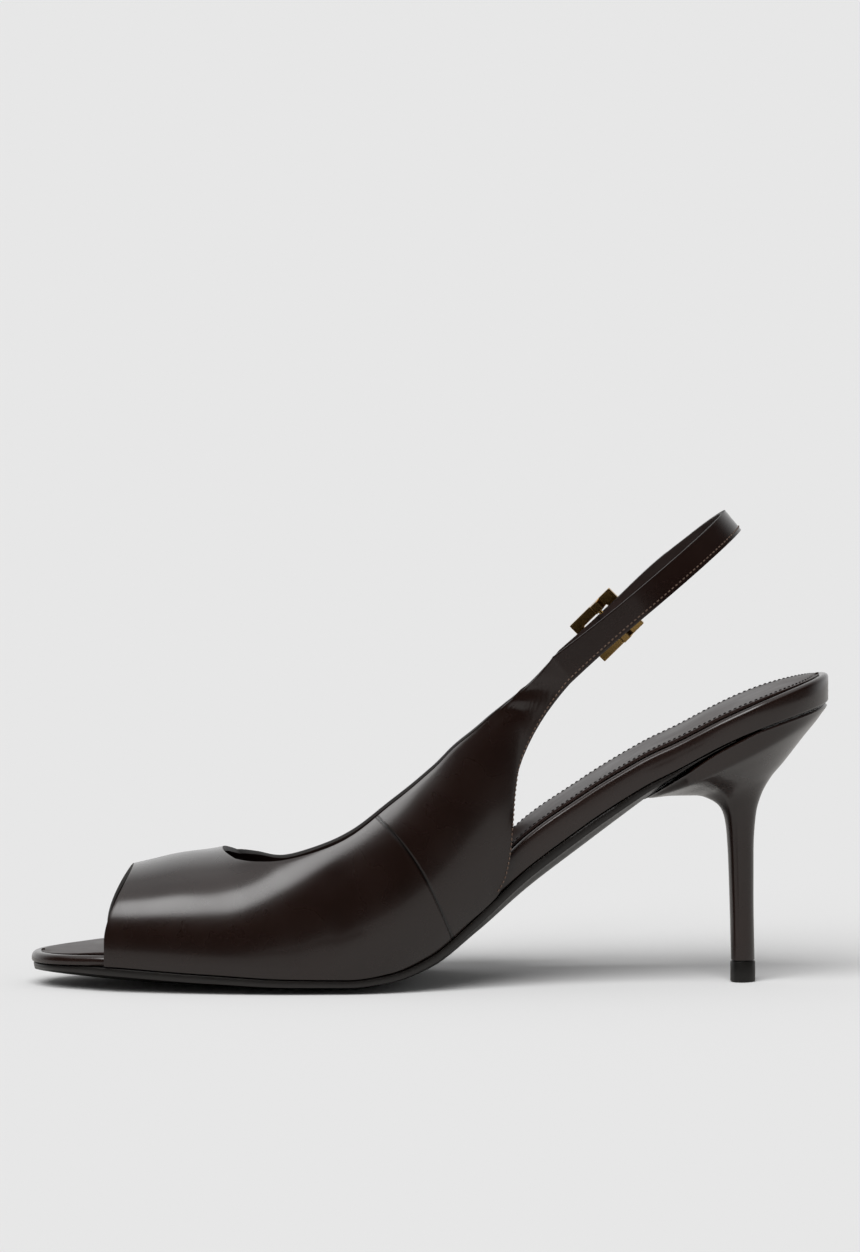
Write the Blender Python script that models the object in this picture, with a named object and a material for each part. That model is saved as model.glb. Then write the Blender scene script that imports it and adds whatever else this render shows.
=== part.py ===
"""Open-toe slingback sandal on a slim heel, right foot, built from its sole and last outwards.

Metres, +Z up. The sole lies along X with its toe at -X, and the outer (buckle) side of the shoe is +Y.
Shapes are worked out in the sole's own coordinates, where x is the distance back from the toe tip,
and a parent empty puts the middle of the shoe's footprint at the origin.
"""
import math
from collections import namedtuple

import bmesh
import bpy
from mathutils import Vector

# Sole
SHOE_LENGTH = 0.2255        # toe tip to the back of the heel seat, along the floor
BALL_WIDTH = 0.076          # insole board at its widest
HEEL_HEIGHT = 0.0795        # floor to the underside of the board, at its back
TOE_SPRING = 0.0044         # lift of the outsole at the toe tip
OUTSOLE_THICKNESS = 0.004   # at the ball
OUTSOLE_EDGE = 0.0019       # height of the outsole's side face at the ball
BOARD_THICKNESS = 0.0084    # wrapped board under the arch
BOARD_EDGE_RADIUS = 0.0016
SOCK_THICKNESS = 0.0009
SOCK_INSET = 0.0011
SOCK_CROWN = 0.0004
TOE_ROUND = 0.016           # length over which the toe rounds off
TOE_SQUARENESS = 2.2
HEEL_ROUND = 0.025          # length over which the heel seat rounds off
HEEL_SQUARENESS = 2.0
TONGUE_END = 0.199          # where the outsole ends, under the heel seat
RIM_PROUD = 0.0005          # outsole past the upper's face

# Upper
INSTEP_HEIGHT = 0.066       # crest of the last over the board, above the arch
WALL = 0.0015
BULGE = 0.0016              # swell of the upper over the edge of the sole, under the instep
TOE_OPENING_LOW = 0.0209    # where the toe opening meets the sole
TOE_OPENING_TOP = 0.0289    # where the toe opening crosses the crest
THROAT = 0.054              # where the topline crosses the crest
UPPER_LIFT = 0.00012        # the upper's lower edge over the board's underside
STRAP_DRAW = 0.012          # height over the board in which the quarter draws in to the strap
LATERAL_DROP = 0.0044       # topline of the outer quarter, lower than the inner one

# Sling strap
STRAP_WIDTH = 0.0071
STRAP_FLARE = 0.25          # how much wider the strap is at its root, as a share
STRAP_THICKNESS = 0.0018
STRAP_ANGLE = math.radians(39.8)
STRAP_REACH = 0.063         # quarter to the back of the loop, along the strap's plane
STRAP_STRAIGHT = 0.028      # straight part of each side
STRAP_TAPER = 0.0020        # how much nearer to the middle the straight part ends
TAB_LENGTH = 0.0465         # holed strap end of the outer quarter
TAB_TIP = 0.006             # rounded end of the tab
TAB_RISE = 0.0012           # how far the tab rides up over the hinge bar
TAB_HUMP = 0.0018           # reach of that rise along the tab

# Buckle
BUCKLE_LENGTH = 0.0158
BUCKLE_WIDTH = 0.0142
BUCKLE_CENTRE = 0.0153      # along the strap, from its root
FRAME_BAR = 0.0023
FRAME_DEPTH = 0.0014
REAR_BAR = 0.0031
HINGE_SHARE = 0.62          # of the frame's length, from its front
LUG_LENGTH = 0.0024         # lugs under the frame's sides that carry the hinge bar
PIN_RADIUS = 0.0006
PRONG_WIDTH = 0.0014
PRONG_DEPTH = 0.0009
PRONG_HOLE = 0.0020         # width of the tab's hole
LOOP_LEATHER = 0.0008       # pared strap end round the hinge bar

# Heel
HEEL_AXIS = 0.2014          # stem, back from the toe tip
STEM_DEPTH = 0.0067
STEM_WIDTH = 0.0080
TIP_HEIGHT = 0.0059
TIP_PROUD = 0.0002
PROW_START = 0.173          # front of the heel, under the shank

CLEARANCE = 0.0003
SOLE_STATIONS = 40
SOLE_COLUMNS = 6
SIDE_COLUMNS = 9
QUARTER_COLUMNS = 6         # of the side columns, those below the throat
VAMP_RIBS = 12
QUARTER_RIBS = 30
STRAP_RIBS = 44

HALF_BALL = BALL_WIDTH / 2

# Sole sections from toe to heel. Lengths are shares: along of SHOE_LENGTH, width and shift of half the
# ball width, lift of HEEL_HEIGHT, spring of TOE_SPRING, outsole and board of their own thicknesses,
# and rim of the upper's wall that the outsole carries.
SoleRow = namedtuple("SoleRow", "along width shift lift spring outsole board rim")
SOLE = (
    SoleRow(0.000, 0.460, -0.170, 0.000, 1.00, 0.48, 0.330, -0.25),
    SoleRow(0.053, 0.540, -0.165, 0.000, 0.73, 0.88, 0.330, -0.20),
    SoleRow(0.090, 0.640, -0.155, 0.000, 0.58, 1.08, 0.345, 0.70),
    SoleRow(0.124, 0.710, -0.147, 0.000, 0.45, 1.15, 0.380, 1.00),
    SoleRow(0.222, 0.880, -0.105, 0.000, 0.18, 1.12, 0.480, 1.00),
    SoleRow(0.328, 0.985, -0.040, 0.000, 0.00, 1.00, 0.580, 1.00),
    SoleRow(0.399, 1.000, 0.000, 0.000, 0.00, 0.95, 0.660, 1.00),
    SoleRow(0.452, 0.950, 0.028, 0.015, 0.00, 1.05, 0.760, 1.00),
    SoleRow(0.501, 0.868, 0.058, 0.064, 0.00, 1.22, 0.880, 1.00),
    SoleRow(0.559, 0.763, 0.079, 0.189, 0.00, 1.45, 1.020, 0.90),
    SoleRow(0.621, 0.671, 0.074, 0.342, 0.00, 1.62, 1.120, 0.10),
    SoleRow(0.692, 0.618, 0.047, 0.497, 0.00, 1.55, 1.030, -0.10),
    SoleRow(0.763, 0.613, 0.021, 0.650, 0.00, 1.15, 0.950, -0.10),
    SoleRow(0.816, 0.632, 0.008, 0.762, 0.00, 0.50, 0.900, -0.10),
    SoleRow(0.865, 0.653, 0.000, 0.855, 0.00, 0.16, 0.870, -0.10),
    SoleRow(0.918, 0.658, 0.000, 0.924, 0.00, 0.08, 0.860, -0.10),
    SoleRow(1.000, 0.632, 0.000, 0.996, 0.00, 0.08, 0.880, -0.10),
)

# Last above the sole: crest height over the board as a share of INSTEP_HEIGHT, how square the section
# is, and how far it swells over the edge of the sole as a share of BULGE.
LastRow = namedtuple("LastRow", "along crest square swell")
LAST = (
    LastRow(0.080, 0.368, 2.40, 0.80),
    LastRow(0.128, 0.408, 2.35, 0.90),
    LastRow(0.186, 0.464, 2.30, 1.00),
    LastRow(0.240, 0.500, 2.30, 1.00),
    LastRow(0.310, 0.636, 2.35, 1.05),
    LastRow(0.399, 0.848, 2.60, 1.30),
    LastRow(0.488, 1.030, 3.00, 2.50),
    LastRow(0.577, 1.182, 3.50, 3.00),
    LastRow(0.665, 1.303, 4.00, 2.60),
    LastRow(0.754, 1.364, 4.00, 2.20),
)

# Quarter from the throat back to the root of the strap. Each row is a rib from the lower edge to the
# topline: low and top are shares of SHOE_LENGTH behind the toe, low_rise and top_rise shares of the
# last's height there.
QuarterRow = namedtuple("QuarterRow", "step low low_rise top top_rise")
QUARTER = (
    QuarterRow(0.00, 0.2750, 0.000, 0.2572, 0.915),
    QuarterRow(0.10, 0.3000, 0.000, 0.2812, 0.841),
    QuarterRow(0.25, 0.3500, 0.000, 0.3150, 0.767),
    QuarterRow(0.40, 0.4150, 0.000, 0.3850, 0.706),
    QuarterRow(0.55, 0.4900, 0.000, 0.4650, 0.749),
    QuarterRow(0.66, 0.5450, 0.000, 0.5200, 0.739),
    QuarterRow(0.73, 0.5790, 0.000, 0.5560, 0.696),
    QuarterRow(0.77, 0.5920, 0.020, 0.5740, 0.678),
    QuarterRow(0.82, 0.6010, 0.110, 0.5930, 0.655),
    QuarterRow(0.88, 0.6065, 0.300, 0.6110, 0.635),
    QuarterRow(0.94, 0.6190, 0.445, 0.6330, 0.622),
    QuarterRow(1.00, 0.6760, 0.520, 0.6550, 0.621),
)
STRAP_BLEND = 0.74          # step at which the quarter starts to stand as upright as the strap
STRAP_JOIN = 0.90           # step at which the ribs start to take the strap's width and slope
LATERAL_START = 0.2         # share of the outer topline's drop that it has at the throat
LATERAL_EASE = 0.30         # step by which it has dropped fully

# Heel from its stem up to the seat. level_front and level_back are shares of the heel's height at its
# front and back edge, front, back and width shares of the way from the stem's size to the seat's,
# corner the share of the section's depth where the breast meets the side, corner_width its width,
# nose the power of the breast's curve, and seat how much the section is like the seat.
HeelRow = namedtuple("HeelRow", "level_front level_back front back width corner corner_width nose seat")
HEEL = (
    HeelRow(0.477, 0.309, 0.020, -0.015, 0.000, 0.17, 0.80, 0.50, 0.00),
    HeelRow(0.722, 0.472, 0.040, -0.015, 0.010, 0.17, 0.80, 0.50, 0.00),
    HeelRow(0.860, 0.598, 0.064, 0.015, 0.035, 0.18, 0.80, 0.50, 0.05),
    HeelRow(0.940, 0.667, 0.112, 0.083, 0.090, 0.20, 0.82, 0.55, 0.15),
    HeelRow(0.988, 0.730, 0.220, 0.210, 0.210, 0.23, 0.86, 0.62, 0.30),
    HeelRow(1.014, 0.792, 0.400, 0.405, 0.420, 0.26, 0.90, 0.70, 0.50),
    HeelRow(1.012, 0.878, 0.680, 0.660, 0.710, 0.28, 0.94, 0.74, 0.75),
    HeelRow(1.000, 0.960, 0.920, 0.910, 0.930, 0.27, 0.97, 0.70, 0.95),
)

BASE_COLOURS = {
    "leather": ((0.022, 0.011, 0.009, 1.0), 0.28, 0.0),
    "leather_edge": ((0.018, 0.011, 0.009, 1.0), 0.32, 0.0),
    "sock": ((0.050, 0.030, 0.026, 1.0), 0.40, 0.0),
    "outsole": ((0.008, 0.008, 0.008, 1.0), 0.45, 0.0),
    "heel_cover": ((0.016, 0.010, 0.008, 1.0), 0.22, 0.0),
    "tip": ((0.006, 0.006, 0.006, 1.0), 0.50, 0.0),
    "gold": ((0.780, 0.560, 0.250, 1.0), 0.22, 1.0),
}


def sample(rows, column, place):
    """Value of a table's column at a place along its first column, on a curve that never overshoots."""
    places = [row[0] for row in rows]
    values = [getattr(row, column) for row in rows]
    place = min(max(place, places[0]), places[-1])
    span = next(i for i in range(1, len(places)) if place <= places[i])
    slopes = [(values[i + 1] - values[i]) / (places[i + 1] - places[i]) for i in range(len(rows) - 1)]

    def tangent(index):
        if index in (0, len(rows) - 1):
            return slopes[min(index, len(slopes) - 1)]
        before, after = slopes[index - 1], slopes[index]
        return 2 * before * after / (before + after) if before * after > 0 else 0.0

    gap = places[span] - places[span - 1]
    t = (place - places[span - 1]) / gap
    return (
        values[span - 1] * (1 + 2 * t) * (1 - t) ** 2
        + values[span] * t * t * (3 - 2 * t)
        + gap * t * (1 - t) * (tangent(span - 1) * (1 - t) - tangent(span) * t)
    )


def mix(a, b, t):
    return a + (b - a) * t


def smooth(t):
    t = min(max(t, 0.0), 1.0)
    return t * t * (3 - 2 * t)


def sole_value(column, x):
    return sample(SOLE, column, x / SHOE_LENGTH)


def round_end(distance, reach, squareness):
    """Share of the full width at a distance from a rounded end."""
    if distance >= reach:
        return 1.0
    return max(0.0, 1 - (1 - distance / reach) ** squareness) ** (1 / squareness)


def half_width(x):
    """Half the insole board's width, x behind the toe tip."""
    toe = round_end(max(x, 0.0), TOE_ROUND, TOE_SQUARENESS)
    heel = round_end(max(SHOE_LENGTH - x, 0.0), HEEL_ROUND, HEEL_SQUARENESS)
    return sole_value("width", x) * HALF_BALL * toe * heel


def middle(x):
    return sole_value("shift", x) * HALF_BALL


def belly(x):
    """Lowest line of the outsole."""
    return sole_value("lift", x) * HEEL_HEIGHT + sole_value("spring", x) * TOE_SPRING


def outsole_top(x):
    return belly(x) + sole_value("outsole", x) * OUTSOLE_THICKNESS


def board_base(x):
    return outsole_top(x) + CLEARANCE


def board_top(x):
    return board_base(x) + sole_value("board", x) * BOARD_THICKNESS


def new_object(name, vertices, faces, finish, parent):
    """A mesh object with its own material, smooth apart from its real edges."""
    mesh = bpy.data.meshes.new(name)
    mesh.from_pydata([tuple(v) for v in vertices], [], faces)
    mesh.validate()
    mesh.shade_smooth()
    mesh.set_sharp_from_angle(angle=math.radians(38))
    colour, roughness, metallic = BASE_COLOURS[finish]
    material = bpy.data.materials.new(name)
    material.use_nodes = True
    shader = material.node_tree.nodes["Principled BSDF"]
    shader.inputs["Base Color"].default_value = colour
    shader.inputs["Roughness"].default_value = roughness
    shader.inputs["Metallic"].default_value = metallic
    mesh.materials.append(material)
    obj = bpy.data.objects.new(name, mesh)
    bpy.context.collection.objects.link(obj)
    obj.parent = parent
    return obj


def face_outward(obj):
    """Turn the faces of a closed mesh outward."""
    work = bmesh.new()
    work.from_mesh(obj.data)
    bmesh.ops.recalc_face_normals(work, faces=work.faces)
    work.to_mesh(obj.data)
    work.free()


def stations(start, end, count):
    """Places from start to end, closer together near both ends."""
    return [mix(start, end, (1 - math.cos(math.pi * i / count)) / 2) for i in range(count + 1)]


def sole_places():
    """Stations that every layer of the sole shares, with one at the outsole's end."""
    places = stations(0.0, SHOE_LENGTH, SOLE_STATIONS)
    nearest = min(range(len(places)), key=lambda i: abs(places[i] - TONGUE_END))
    return places[:nearest] + [TONGUE_END] + places[nearest + 1:]


def plan_rows(places, outset, inset):
    """Rows across the sole, one a place: points (x, y) from the inner to the outer side.

    outset(x) moves the outline outward, and inset draws the whole outline in.
    """
    edges = []
    for side in (-1, 1):
        line = [Vector((x, middle(x) + side * max(half_width(x), 0.0))) for x in places]
        moved = []
        for i, point in enumerate(line):
            before = line[i - 1] if i else Vector((point.x, 2 * middle(point.x) - line[1].y))
            after = line[i + 1] if i + 1 < len(line) else None
            if after is None:
                open_end = half_width(point.x) > CLEARANCE
                after = 2 * point - before if open_end else Vector((point.x, -line[i - 1].y))
            run = (after - before).normalized()
            normal = Vector((-run.y, run.x)) * side
            moved.append(point + normal * (outset(point.x) - inset))
        edges.append(moved)
    rows = []
    for inner, outer in zip(*edges):
        if (outer - inner).length < CLEARANCE:
            rows.append([(inner + outer) / 2])
        else:
            rows.append([inner.lerp(outer, j / SOLE_COLUMNS) for j in range(SOLE_COLUMNS + 1)])
    return rows


def slab(name, places, layers, finish, parent, outset=lambda x: 0.0):
    """A closed solid over the sole's outline.

    layers run from the bottom up, each with an inset and a height(x, across), where across goes from
    -1 at the inner edge to 1 at the outer edge.
    """
    vertices, faces, rings = [], [], []
    last = len(layers) - 1
    for level, (inset, height) in enumerate(layers):
        rows = plan_rows(places, outset, inset)
        numbers = []
        for r, row in enumerate(rows):
            whole = level in (0, last) or r == len(rows) - 1
            line = []
            for j, point in enumerate(row):
                if not whole and 0 < j < len(row) - 1:
                    line.append(None)
                    continue
                across = 0.0 if len(row) == 1 else 2 * j / SOLE_COLUMNS - 1
                vertices.append((point.x, point.y, height(point.x, across)))
                line.append(len(vertices) - 1)
            numbers.append(line)
        rings.append([n[0] for n in numbers] + numbers[-1][1:-1] + [n[-1] for n in reversed(numbers) if len(n) > 1])
        if level in (0, last):
            for near, far in zip(numbers, numbers[1:]):
                for j in range(SOLE_COLUMNS):
                    corners = [
                        near[min(j, len(near) - 1)], near[min(j + 1, len(near) - 1)],
                        far[min(j + 1, len(far) - 1)], far[min(j, len(far) - 1)],
                    ]
                    corners = list(dict.fromkeys(corners))
                    if len(corners) > 2:
                        faces.append(corners)
    for low, high in zip(rings, rings[1:]):
        for i in range(len(low)):
            j = (i + 1) % len(low)
            faces.append([low[i], low[j], high[j], high[i]])
    obj = new_object(name, vertices, faces, finish, parent)
    face_outward(obj)
    return obj


def rim(x):
    """How far the outsole reaches past the board."""
    return sole_value("rim", x) * (CLEARANCE + WALL + RIM_PROUD)


def outsole_bottom(x, across):
    """Underside of the outsole: flat in the middle, curling up to its side face."""
    edge = outsole_top(x) - sole_value("outsole", x) * OUTSOLE_EDGE
    return mix(belly(x), edge, smooth((abs(across) - 0.4) / 0.6))


def build_outsole(parent):
    layers = (
        (0.0, outsole_bottom),
        (0.0, lambda x, across: outsole_top(x)),
    )
    places = [x for x in sole_places() if x <= TONGUE_END]
    return slab("outsole", places, layers, "outsole", parent, rim)


def build_board(parent):
    radius = BOARD_EDGE_RADIUS
    layers = [(0.3 * radius, lambda x, across: board_base(x)), (0.0, lambda x, across: board_base(x) + 0.3 * radius)]
    for turn in (0, 30, 60, 90):
        angle = math.radians(turn)
        drop = radius * (1 - math.sin(angle))
        layers.append((radius * (1 - math.cos(angle)), lambda x, across, drop=drop: board_top(x) - drop))
    return slab("insole_board", sole_places(), layers, "leather_edge", parent)


def sock_base(x):
    return board_top(x) + CLEARANCE


def build_sock(parent):
    def top(x, across):
        return sock_base(x) + SOCK_THICKNESS + SOCK_CROWN * (1 - across * across)

    layers = (
        (SOCK_INSET + BOARD_EDGE_RADIUS, lambda x, across: sock_base(x)),
        (SOCK_INSET + BOARD_EDGE_RADIUS, lambda x, across: sock_base(x) + SOCK_THICKNESS * 0.6),
        (SOCK_INSET + BOARD_EDGE_RADIUS + SOCK_THICKNESS * 0.5, top),
    )
    return slab("sock_lining", sole_places(), layers, "sock", parent)


def heel_top(x):
    """Top of the heel: a clearance below the outsole, or below the board past the outsole's end."""
    return belly(x) - CLEARANCE * smooth((TONGUE_END + 0.006 - x) / 0.006)


def build_heel(parent):
    """Sections from the stem's foot to the seat, each a nose, two corners and a round back."""
    back_end = SHOE_LENGTH - CLEARANCE
    seat_half = max(half_width(x) for x in stations(PROW_START, back_end, 20)) - CLEARANCE
    nose_steps = (0.0, 0.12, 0.4, 0.7)
    side_steps = 9
    foot = HeelRow(
        (TIP_HEIGHT + CLEARANCE) / heel_top(PROW_START), (TIP_HEIGHT + CLEARANCE) / heel_top(back_end),
        0.0, 0.0, 0.0, HEEL[0].corner, HEEL[0].corner_width, HEEL[0].nose, 0.0,
    )
    seat = HeelRow(1.0, 1.0, 1.0, 1.0, 1.0, 0.26, 0.97, 0.62, 1.0)
    vertices, rings = [], []
    for row in (foot,) + HEEL + (seat,):
        stem = STEM_DEPTH / 2
        front_x = HEEL_AXIS - mix(stem, HEEL_AXIS - PROW_START, row.front)
        back_x = HEEL_AXIS + mix(stem, back_end - HEEL_AXIS, row.back)
        front_z = row.level_front * heel_top(PROW_START)
        back_z = row.level_back * heel_top(back_end)
        half = mix(STEM_WIDTH / 2, seat_half, row.width)
        places = [row.corner * step for step in nose_steps]
        places += [mix(row.corner, 1.0, math.sin(math.pi / 2 * i / side_steps)) for i in range(side_steps + 1)]
        outline = []
        for u in places:
            x = mix(front_x, back_x, u)
            if u <= row.corner:
                round_width = row.corner_width * (u / row.corner) ** row.nose
            else:
                v = (u - row.corner) / (1 - row.corner)
                swell = mix(row.corner_width, 1.0, math.sin(math.pi / 2 * min(1.0, v / 0.3)))
                round_width = swell * math.sqrt(max(0.0, 1 - (max(0.0, v - 0.2) / 0.8) ** 2))
            under_seat = mix(PROW_START, back_end, u)
            seat_width = max(0.0, half_width(under_seat + CLEARANCE) - CLEARANCE) / seat_half
            if u <= row.corner:
                seat_width *= (u / row.corner) ** row.nose
            z = mix(front_z, back_z, u)
            if row is seat:
                z = heel_top(x)
            outline.append((x, half * mix(round_width, seat_width, row.seat), z))
        ring = []
        for x, y, z in outline:
            vertices.append((x, -y, z))
            ring.append(len(vertices) - 1)
        for x, y, z in reversed(outline[1:-1]):
            vertices.append((x, y, z))
            ring.append(len(vertices) - 1)
        rings.append(ring)
    faces = []
    for low, high in zip(rings, rings[1:]):
        for i in range(len(low)):
            j = (i + 1) % len(low)
            faces.append([low[i], low[j], high[j], high[i]])
    for ring in (rings[0], rings[-1]):
        half_count = len(ring) // 2
        faces.append([ring[0], ring[1], ring[-1]])
        for i in range(1, half_count - 1):
            faces.append([ring[i], ring[i + 1], ring[-i - 1], ring[-i]])
        faces.append([ring[half_count - 1], ring[half_count], ring[half_count + 1]])
    obj = new_object("heel", vertices, faces, "heel_cover", parent)
    face_outward(obj)
    return obj


def build_heel_tip(parent):
    """Top piece: the stem's own D outline, a little proud of it."""
    outline = []
    row = HEEL[0]
    depth, half = STEM_DEPTH + 2 * TIP_PROUD, STEM_WIDTH / 2 + TIP_PROUD
    front_x = HEEL_AXIS - depth / 2
    for step in (0.0, 0.3, 0.7):
        outline.append((front_x + depth * row.corner * step, half * row.corner_width * step ** row.nose))
    for i in range(9):
        u = mix(row.corner, 1.0, math.sin(math.pi / 2 * i / 8))
        v = (u - row.corner) / (1 - row.corner)
        swell = mix(row.corner_width, 1.0, math.sin(math.pi / 2 * min(1.0, v / 0.3)))
        outline.append((front_x + depth * u, half * swell * math.sqrt(max(0.0, 1 - (max(0.0, v - 0.2) / 0.8) ** 2))))
    loop = [(x, -y) for x, y in outline] + [(x, y) for x, y in reversed(outline[1:-1])]
    count = len(loop)
    vertices = [(x, y, 0.0) for x, y in loop] + [(x, y, TIP_HEIGHT) for x, y in loop]
    faces = [list(range(count)), list(range(count, 2 * count))]
    faces += [[i, (i + 1) % count, count + (i + 1) % count, count + i] for i in range(count)]
    obj = new_object("heel_tip", vertices, faces, "tip", parent)
    face_outward(obj)
    return obj


def last_point(side, x, turn):
    """Outer face of the upper on the last: turn is 0 at the sole and a right angle at the crest."""
    square = sample(LAST, "square", x / SHOE_LENGTH)
    height = sample(LAST, "crest", x / SHOE_LENGTH) * INSTEP_HEIGHT
    step = OUTSOLE_THICKNESS
    run = (side * (middle(x + step) - middle(x - step)) + half_width(x + step) - half_width(x - step)) / (2 * step)
    reach = half_width(x) + (CLEARANCE + WALL) * math.sqrt(1 + run * run)
    swell = sample(LAST, "swell", x / SHOE_LENGTH) * BULGE
    across = reach * math.cos(turn) ** (2 / square) + swell * math.sin(2 * turn)
    if turn >= math.pi / 2:
        across = 0.0
    return Vector((x, middle(x) + side * across, board_base(x) + UPPER_LIFT + height * math.sin(turn) ** (2 / square)))


def turn_at(x, rise):
    """Turn at which the last has risen by a share of its height."""
    square = sample(LAST, "square", x / SHOE_LENGTH)
    return math.asin(min(1.0, rise) ** (square / 2))


def strap_root():
    """Middle of the strap where it leaves the quarter, and how far out it lies."""
    row = QUARTER[-1]
    low, top = row.low * SHOE_LENGTH, row.top * SHOE_LENGTH
    low_point = last_point(-1, low, turn_at(low, row.low_rise))
    top_point = last_point(-1, top, turn_at(top, row.top_rise))
    centre = (low_point + top_point) / 2
    return centre.x, centre.z, abs(centre.y - middle(centre.x))


ROOT_X, ROOT_Z, ROOT_HALF = strap_root()
ALONG = Vector((math.cos(STRAP_ANGLE), 0.0, math.sin(STRAP_ANGLE)))
UPWARD = Vector((-math.sin(STRAP_ANGLE), 0.0, math.cos(STRAP_ANGLE)))


def loop_plan(t):
    """Half of the strap's loop in its own plane, from the root (t=0) to the back (t=1): (along, out)."""
    straight_end = (STRAP_STRAIGHT, ROOT_HALF - STRAP_TAPER)
    share = STRAP_STRAIGHT / (STRAP_REACH + ROOT_HALF / 2)
    if t < share:
        return mix(0.0, straight_end[0], t / share), mix(ROOT_HALF, straight_end[1], t / share)
    t = (t - share) / (1 - share)
    lead = 0.5 * (STRAP_REACH - STRAP_STRAIGHT)
    points = (
        straight_end,
        (straight_end[0] + lead, straight_end[1] - lead * STRAP_TAPER / STRAP_STRAIGHT),
        (STRAP_REACH, 0.5 * straight_end[1]),
        (STRAP_REACH, 0.0),
    )
    weights = ((1 - t) ** 3, 3 * t * (1 - t) ** 2, 3 * t * t * (1 - t), t ** 3)
    return tuple(sum(w * p[k] for w, p in zip(weights, points)) for k in (0, 1))


def strap_half(along):
    """Half of the strap's width: it widens towards its root."""
    return STRAP_WIDTH / 2 * (1 + STRAP_FLARE * max(0.0, 1 - along / STRAP_STRAIGHT) ** 2)


def lateral_drop(along):
    """How far the outer side of the strap hangs below the inner side: straight under the buckle, then easing."""
    straight = along / STRAP_STRAIGHT
    if straight <= 1:
        share = 1 - 0.75 * straight
    else:
        share = 0.25 * max(0.0, 1 - 1.5 * (straight - 1)) ** 2
    return share * LATERAL_DROP * math.cos(STRAP_ANGLE)


def strap_point(along, out, up):
    """A point of the strap's plane: along it, out from the shoe's middle (+Y), and up its width."""
    fade = max(0.0, 1 - along / STRAP_REACH)
    base = Vector((ROOT_X, middle(ROOT_X) * fade + out, ROOT_Z))
    drop = lateral_drop(along) if out > 0 else 0.0
    return base + ALONG * along + UPWARD * (up - drop)


def topline(side, step):
    """Place and turn of the topline at one rib of a quarter."""
    top = sample(QUARTER, "top", step) * SHOE_LENGTH
    rise = sample(QUARTER, "top_rise", step)
    if side > 0:
        height = sample(LAST, "crest", top / SHOE_LENGTH) * INSTEP_HEIGHT
        rise -= LATERAL_DROP / height * mix(LATERAL_START, 1.0, smooth(step / LATERAL_EASE))
    return top, turn_at(top, rise)


def rib_points(side, step):
    """Points of one rib of a quarter, from its lower edge to the topline."""
    low = sample(QUARTER, "low", step) * SHOE_LENGTH
    low_rise = sample(QUARTER, "low_rise", step)
    top, top_turn = topline(side, step)
    blend = smooth((step - STRAP_BLEND) / (1 - STRAP_BLEND))
    if side > 0:
        height = sample(LAST, "crest", top / SHOE_LENGTH) * INSTEP_HEIGHT
        low_rise = max(0.0, low_rise - LATERAL_DROP / height * blend)
    low_turn = turn_at(low, low_rise)
    join = smooth((step - STRAP_JOIN) / (1 - STRAP_JOIN))
    points = []
    for j in range(QUARTER_COLUMNS + 1):
        b = j / QUARTER_COLUMNS
        point = last_point(side, mix(low, top, b), mix(low_turn, top_turn, b))
        root = strap_point(0.0, side * ROOT_HALF, (2 * b - 1) * strap_half(0.0))
        over = smooth((point.z - board_top(point.x)) / STRAP_DRAW)
        point.y = mix(point.y, root.y, blend * over)
        points.append(point.lerp(root, join))
    return points


def vamp_rib(share):
    """Points of one rib of the vamp, from the inner edge over the crest to the outer edge.

    The ribs turn from the slant of the toe opening into the curve of the throat.
    """
    low = mix(TOE_OPENING_LOW, QUARTER[0].low * SHOE_LENGTH, share)
    top = mix(TOE_OPENING_TOP, THROAT, share)
    split = QUARTER_COLUMNS / SIDE_COLUMNS
    sides = []
    for side in (-1, 1):
        corner, bend = topline(side, 0.0)
        corner += top - THROAT
        points = []
        for j in range(SIDE_COLUMNS + 1):
            b = j / SIDE_COLUMNS
            if b > split:
                curved = mix(top, corner, ((1 - b) / (1 - split)) ** 2)
                turn = mix(bend, math.pi / 2, (b - split) / (1 - split))
            else:
                curved = mix(low, corner, b / split)
                turn = bend * b / split
            points.append(last_point(side, mix(mix(low, top, b), curved, share * share), turn))
        sides.append(points)
    return sides[0] + sides[1][-2::-1]


def buckle_frame_axes():
    """Seat of the hinge bar on the outer strap, and the buckle's own directions."""
    hinge = BUCKLE_CENTRE + (HINGE_SHARE - 0.5) * BUCKLE_LENGTH
    start, end = strap_side(0.0), strap_side(STRAP_STRAIGHT)
    run = (end - start).normalized()
    out = UPWARD.cross(run).normalized()
    if out.y < 0:
        out = -out
    return start + run * hinge, run, out, out.cross(run).normalized()


def strap_side(along):
    """Outer face of the tab on the outer side, in the middle of its width."""
    share = STRAP_STRAIGHT / (STRAP_REACH + ROOT_HALF / 2)
    return strap_point(*loop_plan(share * along / STRAP_STRAIGHT), 0.0)


def skin_grid(vertices, faces, ribs, first=None):
    """Add ribs of points as a grid of faces, starting from vertices that are already there."""
    numbers = []
    for r, rib in enumerate(ribs):
        if r == 0 and first is not None:
            numbers.append(first)
            continue
        vertices.extend(rib)
        numbers.append(list(range(len(vertices) - len(rib), len(vertices))))
    for near, far in zip(numbers, numbers[1:]):
        for j in range(len(near) - 1):
            faces.append([near[j], far[j], far[j + 1], near[j + 1]])
    return numbers


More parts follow.
